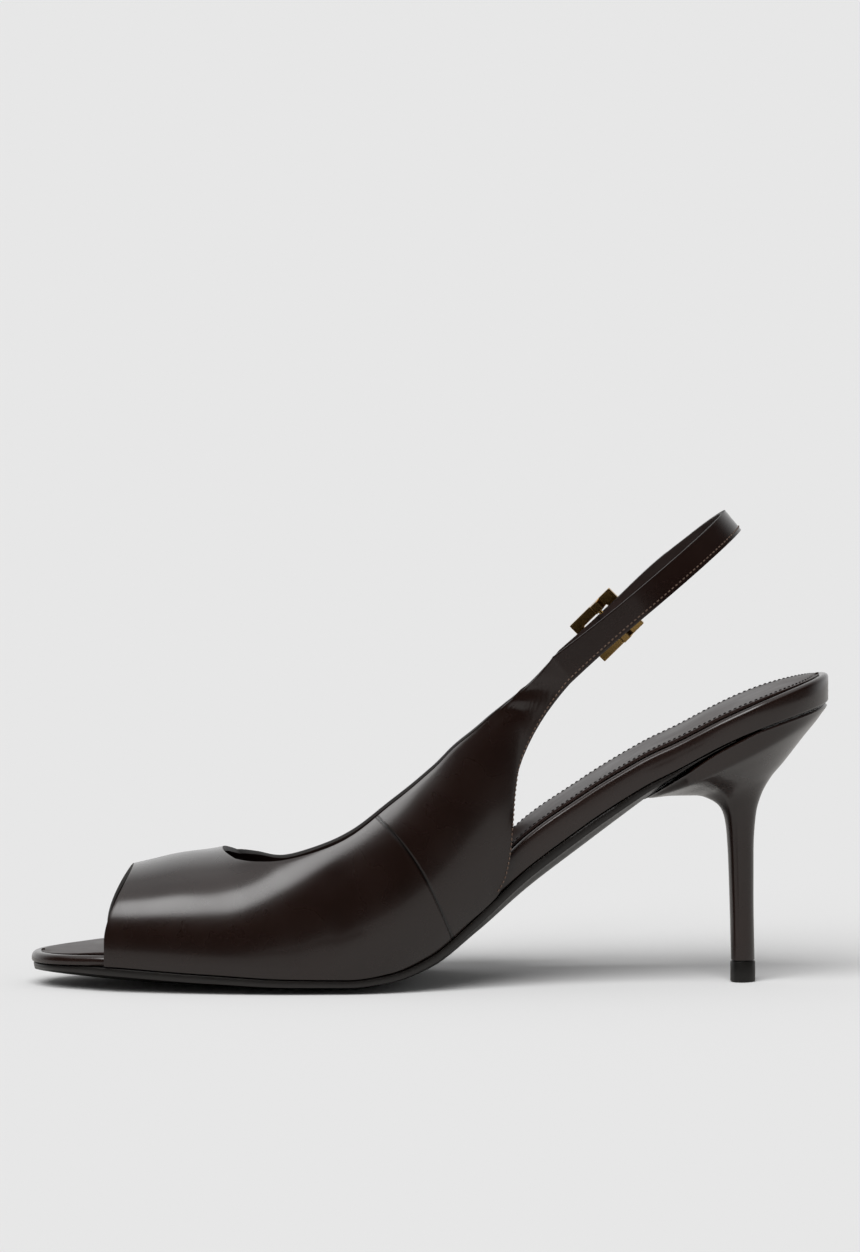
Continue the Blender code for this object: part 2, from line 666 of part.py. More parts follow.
def strap_line():
    """Outer face of the sling strap from the inner quarter round the heel to the hinge bar.

    Gives the middle of each rib with its half width and its thickness.
    """
    hinge, run, out, rise = buckle_frame_axes()
    hinge_along = (hinge - strap_side(0.0)).length
    pin_level = pin_offset()
    under_tab = -(WALL + CLEARANCE)
    ribs = []
    for i in range(1, STRAP_RIBS + 1):
        along, half = loop_plan(i / STRAP_RIBS)
        ribs.append((strap_point(along, -half, 0.0), strap_half(along), STRAP_THICKNESS))
    clear = hinge_along + (1 - HINGE_SHARE) * BUCKLE_LENGTH + STRAP_THICKNESS
    i = STRAP_RIBS - 1
    while i > 0:
        t = i / STRAP_RIBS
        along, half = loop_plan(t)
        if along < clear:
            break
        ahead, behind = loop_plan(t + 0.01), loop_plan(t - 0.01)
        way = strap_point(*behind, 0.0) - strap_point(*ahead, 0.0)
        normal = way.normalized().cross(UPWARD)
        ease = smooth((TAB_LENGTH + 0.010 - along) / 0.008)
        ribs.append((strap_point(along, half, 0.0) + normal * under_tab * ease, STRAP_WIDTH / 2, STRAP_THICKNESS))
        i -= 1
    radius = PIN_RADIUS + CLEARANCE
    inner_level = pin_level - radius
    steps = 3
    for i in range(1, steps + 1):
        place = (clear - hinge_along) * (1 - i / (steps + 1))
        level = mix(under_tab, inner_level, smooth(i / steps))
        thickness = mix(STRAP_THICKNESS, LOOP_LEATHER, i / steps)
        ribs.append((hinge + run * place + out * level, STRAP_WIDTH / 2, thickness))
    centre = hinge + out * pin_level
    for turn in range(0, 91, 30):
        angle = math.radians(turn)
        hook = centre + (-out * math.cos(angle) - run * math.sin(angle)) * radius
        ribs.append((hook, STRAP_WIDTH / 2, LOOP_LEATHER))
    return ribs


def pin_offset():
    """Level of the hinge bar's middle under the tab's outer face."""
    return TAB_RISE - WALL - CLEARANCE - LOOP_LEATHER - CLEARANCE - PIN_RADIUS


def tab_line():
    """Outer face of the tab from the outer quarter to its free tip: middle and half width of each rib."""
    hinge, run, out, rise = buckle_frame_axes()
    hinge_along = (hinge - strap_side(0.0)).length
    ribs = []
    count = 30
    for i in range(1, count + 1):
        along = TAB_LENGTH * i / count
        if along <= STRAP_STRAIGHT:
            point = strap_side(along)
        else:
            low, high = 0.0, 1.0
            for _ in range(30):
                t = (low + high) / 2
                if loop_plan(t)[0] < along:
                    low = t
                else:
                    high = t
            point = strap_point(*loop_plan(low), 0.0)
        lift = TAB_RISE * math.exp(-(((along - hinge_along) / TAB_HUMP) ** 2))
        half = strap_half(along) * math.sqrt(max(0.12, 1 - max(0.0, 1 - (TAB_LENGTH - along) / TAB_TIP) ** 2))
        ribs.append((point + out * lift, half))
    return ribs


def build_upper(parent):
    """Vamp, quarters, sling strap and tab as one skin, which takes its thickness inward."""
    vertices, faces = [], []
    vamp = [vamp_rib(i / VAMP_RIBS) for i in range(VAMP_RIBS + 1)]
    numbers = skin_grid(vertices, faces, vamp)
    throat = numbers[-1]

    steps = [i / QUARTER_RIBS for i in range(QUARTER_RIBS + 1)]
    inner = [rib_points(-1, step) for step in steps]
    outer = [rib_points(1, step)[::-1] for step in steps]
    inner_numbers = skin_grid(vertices, faces, inner, throat[:QUARTER_COLUMNS + 1])
    outer_numbers = skin_grid(vertices, faces, outer, throat[-QUARTER_COLUMNS - 1:])

    def across(middle_point, half):
        return [middle_point + UPWARD * half * (2 * j / QUARTER_COLUMNS - 1) for j in range(QUARTER_COLUMNS + 1)]

    line = strap_line()
    strap = [None] + [across(point, half) for point, half, _ in line]
    strap_numbers = skin_grid(vertices, faces, strap, inner_numbers[-1])
    tab = [None] + [across(point, half)[::-1] for point, half in tab_line()]
    skin_grid(vertices, faces, tab, outer_numbers[-1])

    obj = new_object("upper", vertices, faces, "leather", parent)
    weights = [WALL / STRAP_THICKNESS] * len(vertices)
    for rib, (_, _, thickness) in zip(strap_numbers[1:], line):
        for number in rib:
            weights[number] = thickness / STRAP_THICKNESS
    group = obj.vertex_groups.new(name="thickness")
    for number, weight in enumerate(weights):
        group.add([number], weight, "REPLACE")
    wall = obj.modifiers.new("wall", "SOLIDIFY")
    wall.thickness = STRAP_THICKNESS
    wall.offset = -1.0
    wall.vertex_group = group.name

    hinge, run, out, rise = buckle_frame_axes()
    front = HINGE_SHARE * BUCKLE_LENGTH
    hole = sweep("tab_hole", [
        [hinge - run * place + out * level + rise * up
         for level, up in ((-WALL - CLEARANCE / 2, -PRONG_HOLE / 2), (-WALL - CLEARANCE / 2, PRONG_HOLE / 2),
                           (2 * TAB_RISE, PRONG_HOLE / 2), (2 * TAB_RISE, -PRONG_HOLE / 2))]
        for place in (0.05 * front, 0.48 * front)
    ], "leather", parent)
    hole.hide_render = True
    hole.display_type = "WIRE"
    cut = obj.modifiers.new("tab hole", "BOOLEAN")
    cut.operation = "DIFFERENCE"
    cut.object = hole
    return obj


def build_buckle_frame(parent):
    """Square frame over the tab, with two lugs that reach down to the hinge bar."""
    hinge, run, out, rise = buckle_frame_axes()
    front, rear = -HINGE_SHARE * BUCKLE_LENGTH, (1 - HINGE_SHARE) * BUCKLE_LENGTH
    half = BUCKLE_WIDTH / 2
    inner_half = half - FRAME_BAR
    top, bottom = CLEARANCE + FRAME_DEPTH, CLEARANCE
    lug_bottom = pin_offset() - 2 * PIN_RADIUS
    lug = LUG_LENGTH / 2
    profile = (
        (front, bottom), (front + FRAME_BAR, bottom), (-lug - PIN_RADIUS, bottom), (-lug, lug_bottom),
        (lug, lug_bottom), (lug + PIN_RADIUS, bottom), (rear - REAR_BAR, bottom), (rear, bottom),
    )
    vertices, faces = [], []
    for place, under in profile:
        for level in (under, top):
            for up in (-half, -inner_half, inner_half, half):
                vertices.append(hinge + run * place + rise * up + out * level)

    def number(section, high, up):
        return section * 8 + high * 4 + up

    last = len(profile) - 1
    for s in range(last):
        bar = s in (0, last - 1)
        for lane in (0, 1, 2) if bar else (0, 2):
            for high in (0, 1):
                faces.append([
                    number(s, high, lane), number(s + 1, high, lane),
                    number(s + 1, high, lane + 1), number(s, high, lane + 1),
                ])
        for up in (0, 3) if bar else (0, 1, 2, 3):
            faces.append([number(s, 0, up), number(s + 1, 0, up), number(s + 1, 1, up), number(s, 1, up)])
    for s, lanes in ((0, (0, 1, 2)), (1, (1,)), (last - 1, (1,)), (last, (0, 1, 2))):
        for lane in lanes:
            faces.append([number(s, 0, lane), number(s, 0, lane + 1), number(s, 1, lane + 1), number(s, 1, lane)])
    obj = new_object("buckle_frame", vertices, faces, "gold", parent)
    face_outward(obj)
    edges = obj.modifiers.new("eased edges", "BEVEL")
    edges.width = FRAME_DEPTH * 0.18
    edges.segments = 1
    edges.limit_method = "ANGLE"
    return obj


def sweep(name, sections, finish, parent):
    """A closed bar through four-cornered sections."""
    vertices = [corner for section in sections for corner in section]
    last = 4 * (len(sections) - 1)
    faces = [[0, 1, 2, 3], [last, last + 1, last + 2, last + 3]]
    for s in range(len(sections) - 1):
        for k in range(4):
            near, far = 4 * s + k, 4 * s + (k + 1) % 4
            faces.append([near, far, far + 4, near + 4])
    obj = new_object(name, vertices, faces, finish, parent)
    face_outward(obj)
    return obj


def build_buckle_pin(parent):
    """Hinge bar between the lugs, and the prong that runs out through the tab to the front bar."""
    hinge, run, out, rise = buckle_frame_axes()
    level = pin_offset()
    centre = hinge + out * level
    half = BUCKLE_WIDTH / 2 - FRAME_BAR - CLEARANCE
    sides = 12
    vertices = []
    for end in (-half, half):
        for k in range(sides):
            angle = 2 * math.pi * k / sides
            vertices.append(centre + rise * end + (run * math.cos(angle) + out * math.sin(angle)) * PIN_RADIUS)
    faces = [list(range(sides)), list(range(sides, 2 * sides))]
    faces += [[k, (k + 1) % sides, sides + (k + 1) % sides, sides + k] for k in range(sides)]
    pin = new_object("buckle_pin", vertices, faces, "gold", parent)
    face_outward(pin)

    front = HINGE_SHARE * BUCKLE_LENGTH
    rest = 2 * CLEARANCE + FRAME_DEPTH + PRONG_DEPTH / 2
    path = (
        (0.0, level), (0.14 * front, mix(level, rest, 0.36)), (0.30 * front, mix(level, rest, 0.74)),
        (0.55 * front, mix(level, rest, 0.96)), (0.75 * front, rest), (front - 0.3 * FRAME_BAR, rest),
    )
    sections = []
    for i, (place, height) in enumerate(path):
        near, far = path[max(i - 1, 0)], path[min(i + 1, len(path) - 1)]
        slope = Vector((far[0] - near[0], far[1] - near[1])).normalized()
        middle_point = hinge - run * place + out * height
        thick = (out * slope.x + run * slope.y) * PRONG_DEPTH / 2
        wide = rise * PRONG_WIDTH / 2
        sections.append([middle_point + wide + thick, middle_point - wide + thick,
                         middle_point - wide - thick, middle_point + wide - thick])
    prong = sweep("prong", sections, "gold", parent)
    prong.hide_render = True
    prong.display_type = "WIRE"
    union = pin.modifiers.new("prong", "BOOLEAN")
    union.operation = "UNION"
    union.object = prong
    return pin


def footprint_middle():
    """Middle of the shoe's width, from the widest points of its sole."""
    edges = [(middle(x), half_width(x) + rim(x)) for x in stations(0.0, SHOE_LENGTH, 4 * SOLE_STATIONS)]
    return (max(m + w for m, w in edges) + min(m - w for m, w in edges)) / 2


def main():
    for obj in list(bpy.data.objects):
        bpy.data.objects.remove(obj, do_unlink=True)
    shoe = bpy.data.objects.new("shoe", None)
    bpy.context.collection.objects.link(shoe)
    shoe.location = (-SHOE_LENGTH / 2, -footprint_middle(), 0.0)
    build_outsole(shoe)
    build_board(shoe)
    build_sock(shoe)
    build_heel(shoe)
    build_heel_tip(shoe)
    build_upper(shoe)
    build_buckle_frame(shoe)
    build_buckle_pin(shoe)


main()
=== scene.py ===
"""Looks of an open-toe slingback sandal: polished calf upper, wrapped platform, covered heel and gilt buckle.

Metres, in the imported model's frame: toe at -X, inner side at -Y, outer (buckle) side at +Y, floor at z = 0.
The fine pieces are worked out from the same named sizes as the solids that they stand for.
"""

import logging
import math
from collections.abc import Callable, Sequence
from dataclasses import dataclass
from enum import Enum
from functools import cache

import bmesh
import bpy
import numpy as np
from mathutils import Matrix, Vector


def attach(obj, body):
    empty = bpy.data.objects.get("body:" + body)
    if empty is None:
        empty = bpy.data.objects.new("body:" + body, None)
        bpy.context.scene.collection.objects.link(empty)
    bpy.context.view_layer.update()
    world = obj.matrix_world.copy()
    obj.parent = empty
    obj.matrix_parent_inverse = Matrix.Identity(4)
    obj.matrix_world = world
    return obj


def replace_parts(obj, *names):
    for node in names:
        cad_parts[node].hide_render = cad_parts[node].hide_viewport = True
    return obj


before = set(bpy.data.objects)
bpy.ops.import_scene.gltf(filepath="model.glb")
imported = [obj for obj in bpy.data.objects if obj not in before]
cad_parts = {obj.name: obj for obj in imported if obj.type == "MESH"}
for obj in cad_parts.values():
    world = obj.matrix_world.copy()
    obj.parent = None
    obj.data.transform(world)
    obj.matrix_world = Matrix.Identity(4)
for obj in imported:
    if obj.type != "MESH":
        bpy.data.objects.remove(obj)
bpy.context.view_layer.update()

LOG = logging.getLogger("sandal")
MM = 0.001
BODY = "root"
WELD = 1e-7
PLAN_STATIONS = 160
Value = np.ndarray | float


class Side(Enum):
    """The two sides of the shoe, with their sign along Y."""

    INNER = -1
    OUTER = 1


class Table:
    """Rows of named columns, read along the first one on a curve that never overshoots."""

    def __init__(self, columns: str, rows: Sequence[Sequence[float]]) -> None:
        """Store the rows and work out the slope at each of them.

        Args:
            columns: names of the columns, the first being the place along the table.
            rows: one row of numbers a section.
        """
        data = np.array(rows, float)
        self.places = data[:, 0]
        self.values: dict[str, np.ndarray] = {}
        self.slopes: dict[str, np.ndarray] = {}
        for index, name in enumerate(columns.split()):
            values = data[:, index]
            steps = np.diff(values) / np.diff(self.places)
            slope = np.concatenate([[steps[0]], np.zeros(len(values) - 2), [steps[-1]]])
            product = steps[:-1] * steps[1:]
            total = np.where(product > 0, steps[:-1] + steps[1:], 1.0)
            slope[1:-1] = np.where(product > 0, 2 * product / total, 0.0)
            self.values[name], self.slopes[name] = values, slope

    def at(self, column: str, place: Value) -> np.ndarray:
        """Value of a column at one place or several.

        Args:
            column: name of the column.
            place: where along the table.

        Returns:
            The values, in the shape of place.
        """
        place = np.clip(place, self.places[0], self.places[-1])
        span = np.clip(np.searchsorted(self.places, place, "left"), 1, len(self.places) - 1)
        values, slopes = self.values[column], self.slopes[column]
        gap = self.places[span] - self.places[span - 1]
        t = (place - self.places[span - 1]) / gap
        return (values[span - 1] * (1 + 2 * t) * (1 - t) ** 2 + values[span] * t * t * (3 - 2 * t)
                + gap * t * (1 - t) * (slopes[span - 1] * (1 - t) - slopes[span] * t))


def mix(a: Value, b: Value, t: Value) -> Value:
    """Value at a share t of the way from a to b."""
    return a + (b - a) * t


def smooth(t: Value) -> np.ndarray:
    """Share from 0 to 1 that leaves and arrives softly.

    Args:
        t: the plain share.

    Returns:
        The softened share.
    """
    t = np.clip(t, 0.0, 1.0)
    return t * t * (3 - 2 * t)


def normalised(vectors: np.ndarray) -> np.ndarray:
    """The same directions with length one."""
    return vectors / np.maximum(np.linalg.norm(vectors, axis=-1, keepdims=True), 1e-12)


# Shapes that the pieces share


@dataclass(frozen=True)
class SolePlan:
    """Outline and profile of the sole, x being the distance back from the toe tip."""

    length: float = 0.2255
    ball_width: float = 0.076
    heel_height: float = 0.0795
    toe_spring: float = 0.0044
    outsole_thickness: float = 0.004
    outsole_edge: float = 0.0019
    board_thickness: float = 0.0084
    toe_round: float = 0.016
    toe_squareness: float = 2.2
    heel_round: float = 0.025
    heel_squareness: float = 2.0
    tongue_end: float = 0.199
    rim_proud: float = 0.0005
    clearance: float = 0.0003
    wall: float = 0.0015
    table: Table = Table("along width shift lift spring outsole board rim", (
        (0.000, 0.460, -0.170, 0.000, 1.00, 0.48, 0.330, -0.25),
        (0.053, 0.540, -0.165, 0.000, 0.73, 0.88, 0.330, -0.20),
        (0.090, 0.640, -0.155, 0.000, 0.58, 1.08, 0.345, 0.70),
        (0.124, 0.710, -0.147, 0.000, 0.45, 1.15, 0.380, 1.00),
        (0.222, 0.880, -0.105, 0.000, 0.18, 1.12, 0.480, 1.00),
        (0.328, 0.985, -0.040, 0.000, 0.00, 1.00, 0.580, 1.00),
        (0.399, 1.000, 0.000, 0.000, 0.00, 0.95, 0.660, 1.00),
        (0.452, 0.950, 0.028, 0.015, 0.00, 1.05, 0.760, 1.00),
        (0.501, 0.868, 0.058, 0.064, 0.00, 1.22, 0.880, 1.00),
        (0.559, 0.763, 0.079, 0.189, 0.00, 1.45, 1.020, 0.90),
        (0.621, 0.671, 0.074, 0.342, 0.00, 1.62, 1.120, 0.10),
        (0.692, 0.618, 0.047, 0.497, 0.00, 1.55, 1.030, -0.10),
        (0.763, 0.613, 0.021, 0.650, 0.00, 1.15, 0.950, -0.10),
        (0.816, 0.632, 0.008, 0.762, 0.00, 0.50, 0.900, -0.10),
        (0.865, 0.653, 0.000, 0.855, 0.00, 0.16, 0.870, -0.10),
        (0.918, 0.658, 0.000, 0.924, 0.00, 0.08, 0.860, -0.10),
        (1.000, 0.632, 0.000, 0.996, 0.00, 0.08, 0.880, -0.10),
    ))

    def value(self, column: str, x: Value) -> np.ndarray:
        """A column of the table at a place behind the toe."""
        return self.table.at(column, np.asarray(x) / self.length)

    @staticmethod
    def round_end(distance: np.ndarray, reach: float, squareness: float) -> np.ndarray:
        """Share of the full width at a distance from a rounded end."""
        share = np.clip(distance / reach, 0.0, 1.0)
        return np.maximum(0.0, 1 - (1 - share) ** squareness) ** (1 / squareness)

    def half_width(self, x: Value) -> np.ndarray:
        """Half the board's width.

        Args:
            x: distance back from the toe tip.

        Returns:
            The half width there.
        """
        x = np.asarray(x, float)
        toe = self.round_end(x, self.toe_round, self.toe_squareness)
        heel = self.round_end(self.length - x, self.heel_round, self.heel_squareness)
        return self.value("width", x) * self.ball_width / 2 * toe * heel

    def middle(self, x: Value) -> np.ndarray:
        """Middle line of the sole, which curves with the foot."""
        return self.value("shift", x) * self.ball_width / 2

    def belly(self, x: Value) -> np.ndarray:
        """Lowest line of the outsole."""
        return self.value("lift", x) * self.heel_height + self.value("spring", x) * self.toe_spring

    def outsole_top(self, x: Value) -> np.ndarray:
        """Upper face of the outsole."""
        return self.belly(x) + self.value("outsole", x) * self.outsole_thickness

    def board_base(self, x: Value) -> np.ndarray:
        """Lower face of the wrapped board."""
        return self.outsole_top(x) + self.clearance

    def board_top(self, x: Value) -> np.ndarray:
        """Upper face of the wrapped board."""
        return self.board_base(x) + self.value("board", x) * self.board_thickness

    def rim(self, x: Value) -> np.ndarray:
        """How far the outsole reaches past the board."""
        return self.value("rim", x) * (self.clearance + self.wall + self.rim_proud)

    def places(self, count: int, end: float | None = None) -> np.ndarray:
        """Places from the toe to the end, closer together near both."""
        end = self.length if end is None else end
        return end * (1 - np.cos(np.pi * np.arange(count + 1) / count)) / 2


SOLE = SolePlan()


def footprint_middle() -> float:
    """Middle of the shoe's width, where the frame has y = 0.

    Returns:
        Its place along Y.
    """
    x = SOLE.places(PLAN_STATIONS)
    reach = SOLE.half_width(x) + SOLE.rim(x)
    return float((np.max(SOLE.middle(x) + reach) + np.min(SOLE.middle(x) - reach)) / 2)


ORIGIN = np.array([SOLE.length / 2, footprint_middle(), 0.0])


@dataclass(frozen=True)
class LastForm:
    """The form that the upper was pulled over."""

    instep_height: float = 0.066
    bulge: float = 0.0016
    lift: float = 0.00012
    waist_swell: float = 0.60
    waist_start: float = 0.32
    waist_run: float = 0.14
    table: Table = Table("along crest square swell", (
        (0.080, 0.368, 2.40, 0.80),
        (0.128, 0.408, 2.35, 0.90),
        (0.186, 0.464, 2.30, 1.00),
        (0.240, 0.500, 2.30, 1.00),
        (0.310, 0.636, 2.35, 1.05),
        (0.399, 0.848, 2.60, 1.30),
        (0.488, 1.030, 3.00, 2.50),
        (0.577, 1.182, 3.50, 3.00),
        (0.665, 1.303, 4.00, 2.60),
        (0.754, 1.364, 4.00, 2.20),
    ))

    def height(self, x: Value) -> np.ndarray:
        """Height of the crest over the board's lower face."""
        return self.table.at("crest", np.asarray(x) / SOLE.length) * self.instep_height

    def point(self, side: Side, x: np.ndarray, turn: np.ndarray) -> np.ndarray:
        """Outer face of the upper.

        Args:
            side: which side of the shoe.
            x: distance back from the toe tip.
            turn: 0 at the sole and a right angle at the crest.

        Returns:
            Points, one a row.
        """
        x, turn = np.broadcast_arrays(np.asarray(x, float), np.asarray(turn, float))
        square = self.table.at("square", x / SOLE.length)
        step = SOLE.outsole_thickness
        run = (side.value * (SOLE.middle(x + step) - SOLE.middle(x - step))
               + SOLE.half_width(x + step) - SOLE.half_width(x - step)) / (2 * step)
        reach = SOLE.half_width(x) + (SOLE.clearance + SOLE.wall) * np.sqrt(1 + run * run)
        swell = self.table.at("swell", x / SOLE.length) * self.bulge
        rise = np.maximum(np.sin(turn), 0.0) ** (2 / square)
        low_swell = np.sin(math.pi * rise ** self.waist_swell)
        waist = smooth((x / SOLE.length - self.waist_start) / self.waist_run)
        fullness = swell * mix(np.sin(2 * turn), low_swell, waist)
        across = reach * np.maximum(np.cos(turn), 0.0) ** (2 / square) + fullness
        across = np.where(turn >= math.pi / 2 - 1e-9, 0.0, across)
        z = SOLE.board_base(x) + self.lift + self.height(x) * np.sin(turn) ** (2 / square)
        return np.stack([x, SOLE.middle(x) + side.value * across, z], -1)

    def turn_at(self, x: Value, rise: Value) -> np.ndarray:
        """Turn at which the last has risen by a share of its height."""
        square = self.table.at("square", np.asarray(x) / SOLE.length)
        return np.arcsin(np.minimum(1.0, rise) ** (square / 2))


LAST = LastForm()


# Finishes


def linear(code: str) -> tuple[float, float, float, float]:
    """An sRGB hex value as linear red, green, blue and alpha."""
    parts = [int(code[i:i + 2], 16) / 255 for i in (1, 3, 5)]
    return tuple(p / 12.92 if p <= 0.04045 else ((p + 0.055) / 1.055) ** 2.4 for p in parts) + (1.0,)


def add_node(tree: bpy.types.NodeTree, kind: str, settings: dict | None = None,
             **inputs: object) -> bpy.types.Node:
    """Add one node with its settings and links.

    Args:
        tree: the material's or world's nodes.
        kind: the node's type.
        settings: attributes of the node.
        inputs: by input name, with underscores for spaces; an output socket is linked and a value is set.

    Returns:
        The new node.
    """
    node = tree.nodes.new(kind)
    for name, value in (settings or {}).items():
        setattr(node, name, value)
    for name, value in inputs.items():
        key = int(name[1:]) if name[0] == "i" and name[1:].isdigit() else name.replace("_", " ")
        socket = node.inputs[key]
        if isinstance(value, bpy.types.NodeSocket):
            tree.links.new(value, socket)
        else:
            socket.default_value = value
    return node


def blank_material(name: str) -> tuple[bpy.types.Material, bpy.types.NodeTree]:
    """A material with only its output node.

    Args:
        name: the material's name.

    Returns:
        The material and its empty nodes.
    """
    material = bpy.data.materials.new(name)
    material.use_nodes = True
    tree = material.node_tree
    tree.nodes.clear()
    return material, tree


def finish_material(tree: bpy.types.NodeTree, shader: bpy.types.Node) -> None:
    """Link a shader to the material's output."""
    add_node(tree, "ShaderNodeOutputMaterial", None, Surface=shader.outputs[0])


@dataclass(frozen=True)
class PolishedCalf:
    """Box calf, dyed dark and brush-polished: smooth film, faint pores, a mirror-like top gloss."""

    name: str = "polished_box_calf"
    tone: str = "#1b0e0a"
    deep: str = "#120906"
    roughness: float = 0.27
    wear: float = 0.15
    coat: float = 0.6
    coat_roughness: float = 0.13
    pore_mm: float = 0.45
    pull_mm: float = 2.2
    pull: float = 1.6
    grain: float = 0.10
    grain_depth_mm: float = 0.05
    cloud_mm: float = 14.0
    seam: bool = False
    seam_roll_mm: float = 0.75
    seam_depth_mm: float = 0.45
    seam_line_mm: tuple[float, float] = (0.12, 0.38)
    seam_light: float = 0.04

    def sewn(self, tree: bpy.types.NodeTree, base: bpy.types.NodeSocket,
             normal: bpy.types.NodeSocket) -> tuple[bpy.types.NodeSocket, bpy.types.NodeSocket]:
        """Closed seam: the two edges roll in over about 0.5 mm and meet in a fine dark line.

        Args:
            tree: the material's nodes.
            base: the leather's colour.
            normal: its grain.

        Returns:
            The colour and the normal with the seam.
        """
        gap = add_node(tree, "ShaderNodeAttribute", {"attribute_name": "seam_mm"})
        away = add_node(tree, "ShaderNodeMath", {"operation": "ABSOLUTE"}, i0=gap.outputs["Fac"]).outputs[0]
        roll = add_node(tree, "ShaderNodeMapRange", {"interpolation_type": "SMOOTHERSTEP"}, Value=away,
                        From_Min=0.0, From_Max=self.seam_roll_mm, To_Min=0.0, To_Max=1.0)
        line = add_node(tree, "ShaderNodeMapRange", None, Value=away, From_Min=self.seam_line_mm[0],
                        From_Max=self.seam_line_mm[1], To_Min=self.seam_light, To_Max=1.0)
        share = add_node(tree, "ShaderNodeMath", {"operation": "SUBTRACT"}, i0=1.0, i1=line.outputs[0])
        dark = add_node(tree, "ShaderNodeMix", {"data_type": "RGBA", "blend_type": "MULTIPLY"},
                        i0=share.outputs[0], i6=base, i7=(0, 0, 0, 1))
        bump = add_node(tree, "ShaderNodeBump", None, Strength=1.0, Distance=self.seam_depth_mm * MM,
                        Height=roll.outputs[0], Normal=normal)
        return dark.outputs[2], bump.outputs["Normal"]

    @cache
    def material(self) -> bpy.types.Material:
        """The leather, with its seam where the upper has one.

        Returns:
            The material, made once.
        """
        material, tree = blank_material(self.name)
        place = add_node(tree, "ShaderNodeTexCoord").outputs["Object"]
        cloud = add_node(tree, "ShaderNodeTexNoise", None, Vector=place, Scale=1 / (self.cloud_mm * MM),
                         Detail=3.0)
        colour = add_node(tree, "ShaderNodeMix", {"data_type": "RGBA"}, Factor=cloud.outputs["Fac"],
                          i6=linear(self.deep), i7=linear(self.tone))
        pores = add_node(tree, "ShaderNodeTexVoronoi", {"feature": "F1"}, Vector=place,
                         Scale=1 / (self.pore_mm * MM), Randomness=1.0)
        pull = add_node(tree, "ShaderNodeTexNoise", None, Vector=place, Scale=1 / (self.pull_mm * MM),
                        Detail=4.0, Roughness=0.6)
        grain = add_node(tree, "ShaderNodeMath", {"operation": "MULTIPLY_ADD"}, i0=pull.outputs["Fac"],
                         i1=self.pull, i2=pores.outputs["Distance"])
        fine = add_node(tree, "ShaderNodeBump", None, Strength=self.grain,
                        Distance=self.grain_depth_mm * MM, Height=grain.outputs[0])
        base, normal = colour.outputs[2], fine.outputs["Normal"]
        if self.seam:
            base, normal = self.sewn(tree, base, normal)
        wear = add_node(tree, "ShaderNodeMapRange", None, Value=cloud.outputs["Fac"], From_Min=0.3,
                        From_Max=0.7, To_Min=self.roughness * (1 - self.wear),
                        To_Max=self.roughness * (1 + self.wear))
        shader = add_node(tree, "ShaderNodeBsdfPrincipled", None, Base_Color=base, Roughness=wear.outputs[0],
                          Normal=normal, Coat_Weight=self.coat, Coat_Roughness=self.coat_roughness)
        finish_material(tree, shader)
        return material


@dataclass(frozen=True)
class FlatSurface:
    """A simple real surface: one tone with a slow drift and a fine tooth."""

    name: str
    tone: str
    deep: str
    roughness: float
    tooth_mm: float
    tooth_depth_mm: float
    metallic: float = 0.0
    coat: float = 0.0
    coat_roughness: float = 0.1
    drift_mm: float = 9.0

    @cache
    def material(self) -> bpy.types.Material:
        """The surface as nodes.

        Returns:
            The material, made once.
        """
        material, tree = blank_material(self.name)
        place = add_node(tree, "ShaderNodeTexCoord").outputs["Object"]
        drift = add_node(tree, "ShaderNodeTexNoise", None, Vector=place, Scale=1 / (self.drift_mm * MM),
                         Detail=2.0)
        colour = add_node(tree, "ShaderNodeMix", {"data_type": "RGBA"}, Factor=drift.outputs["Fac"],
                          i6=linear(self.deep), i7=linear(self.tone))
        tooth = add_node(tree, "ShaderNodeTexNoise", None, Vector=place, Scale=1 / (self.tooth_mm * MM),
                         Detail=5.0)
        bump = add_node(tree, "ShaderNodeBump", None, Strength=0.5, Distance=self.tooth_depth_mm * MM,
                        Height=tooth.outputs["Fac"])
        shader = add_node(tree, "ShaderNodeBsdfPrincipled", None, Base_Color=colour.outputs[2],
                          Roughness=self.roughness, Metallic=self.metallic, Normal=bump.outputs["Normal"],
                          Coat_Weight=self.coat, Coat_Roughness=self.coat_roughness)
        finish_material(tree, shader)
        return material


class Finish:
    """The sandal's finishes, each made once."""

    # Dyed and brush-polished calf of the upper: near black in the dark, brown-red where light grazes it.
    upper = PolishedCalf(seam=True)
    # The same hide pared and wrapped round the board and heel, pulled tighter and so a little glossier.
    wrap = PolishedCalf(name="wrapped_calf", tone="#20130f", deep="#160d0a", roughness=0.27, coat=0.65,
                        coat_roughness=0.11, pore_mm=0.4)
    # Glazed goat lining and sock: soft sheen over a fine grain.
    lining = PolishedCalf(name="glazed_lining", tone="#241511", deep="#190f0c", roughness=0.48, coat=0.22,
                          coat_roughness=0.22, pore_mm=0.6)
    # Inked and waxed cut edge: black and slightly satin.
    edge = FlatSurface("waxed_edge", "#120c0a", "#0b0807", 0.5, 0.8, 0.03)
    # Moulded resin outsole with a fine tooth underneath.
    outsole = FlatSurface("moulded_resin_sole", "#191614", "#100e0d", 0.38, 0.7, 0.05, coat=0.25,
                          coat_roughness=0.2)
    # Injection-moulded urethane top piece.
    tip = FlatSurface("urethane_top_piece", "#151412", "#0e0d0c", 0.42, 0.5, 0.03)
    # Die-cast zinc plated with pale gold and tumbled: bright, with small soft waves.
    gilt = FlatSurface("pale_gold_plate", "#d6b071", "#c29a58", 0.12, 6.0, 0.008, metallic=1.0)
    # Bonded polyester thread, several shades paler than the leather, so that each stitch shows: partly the
    # thread's own colour, partly a painted highlight standing in for the light caught along the stitched
    # edges.
    thread = FlatSurface("bonded_thread", "#5c4a3f", "#463830", 0.45, 0.3, 0.05)
    # The same thread in black for the sock.
    sock_thread = FlatSurface("black_bonded_thread", "#0f0a08", "#090605", 0.55, 0.3, 0.05)


# Mesh tools


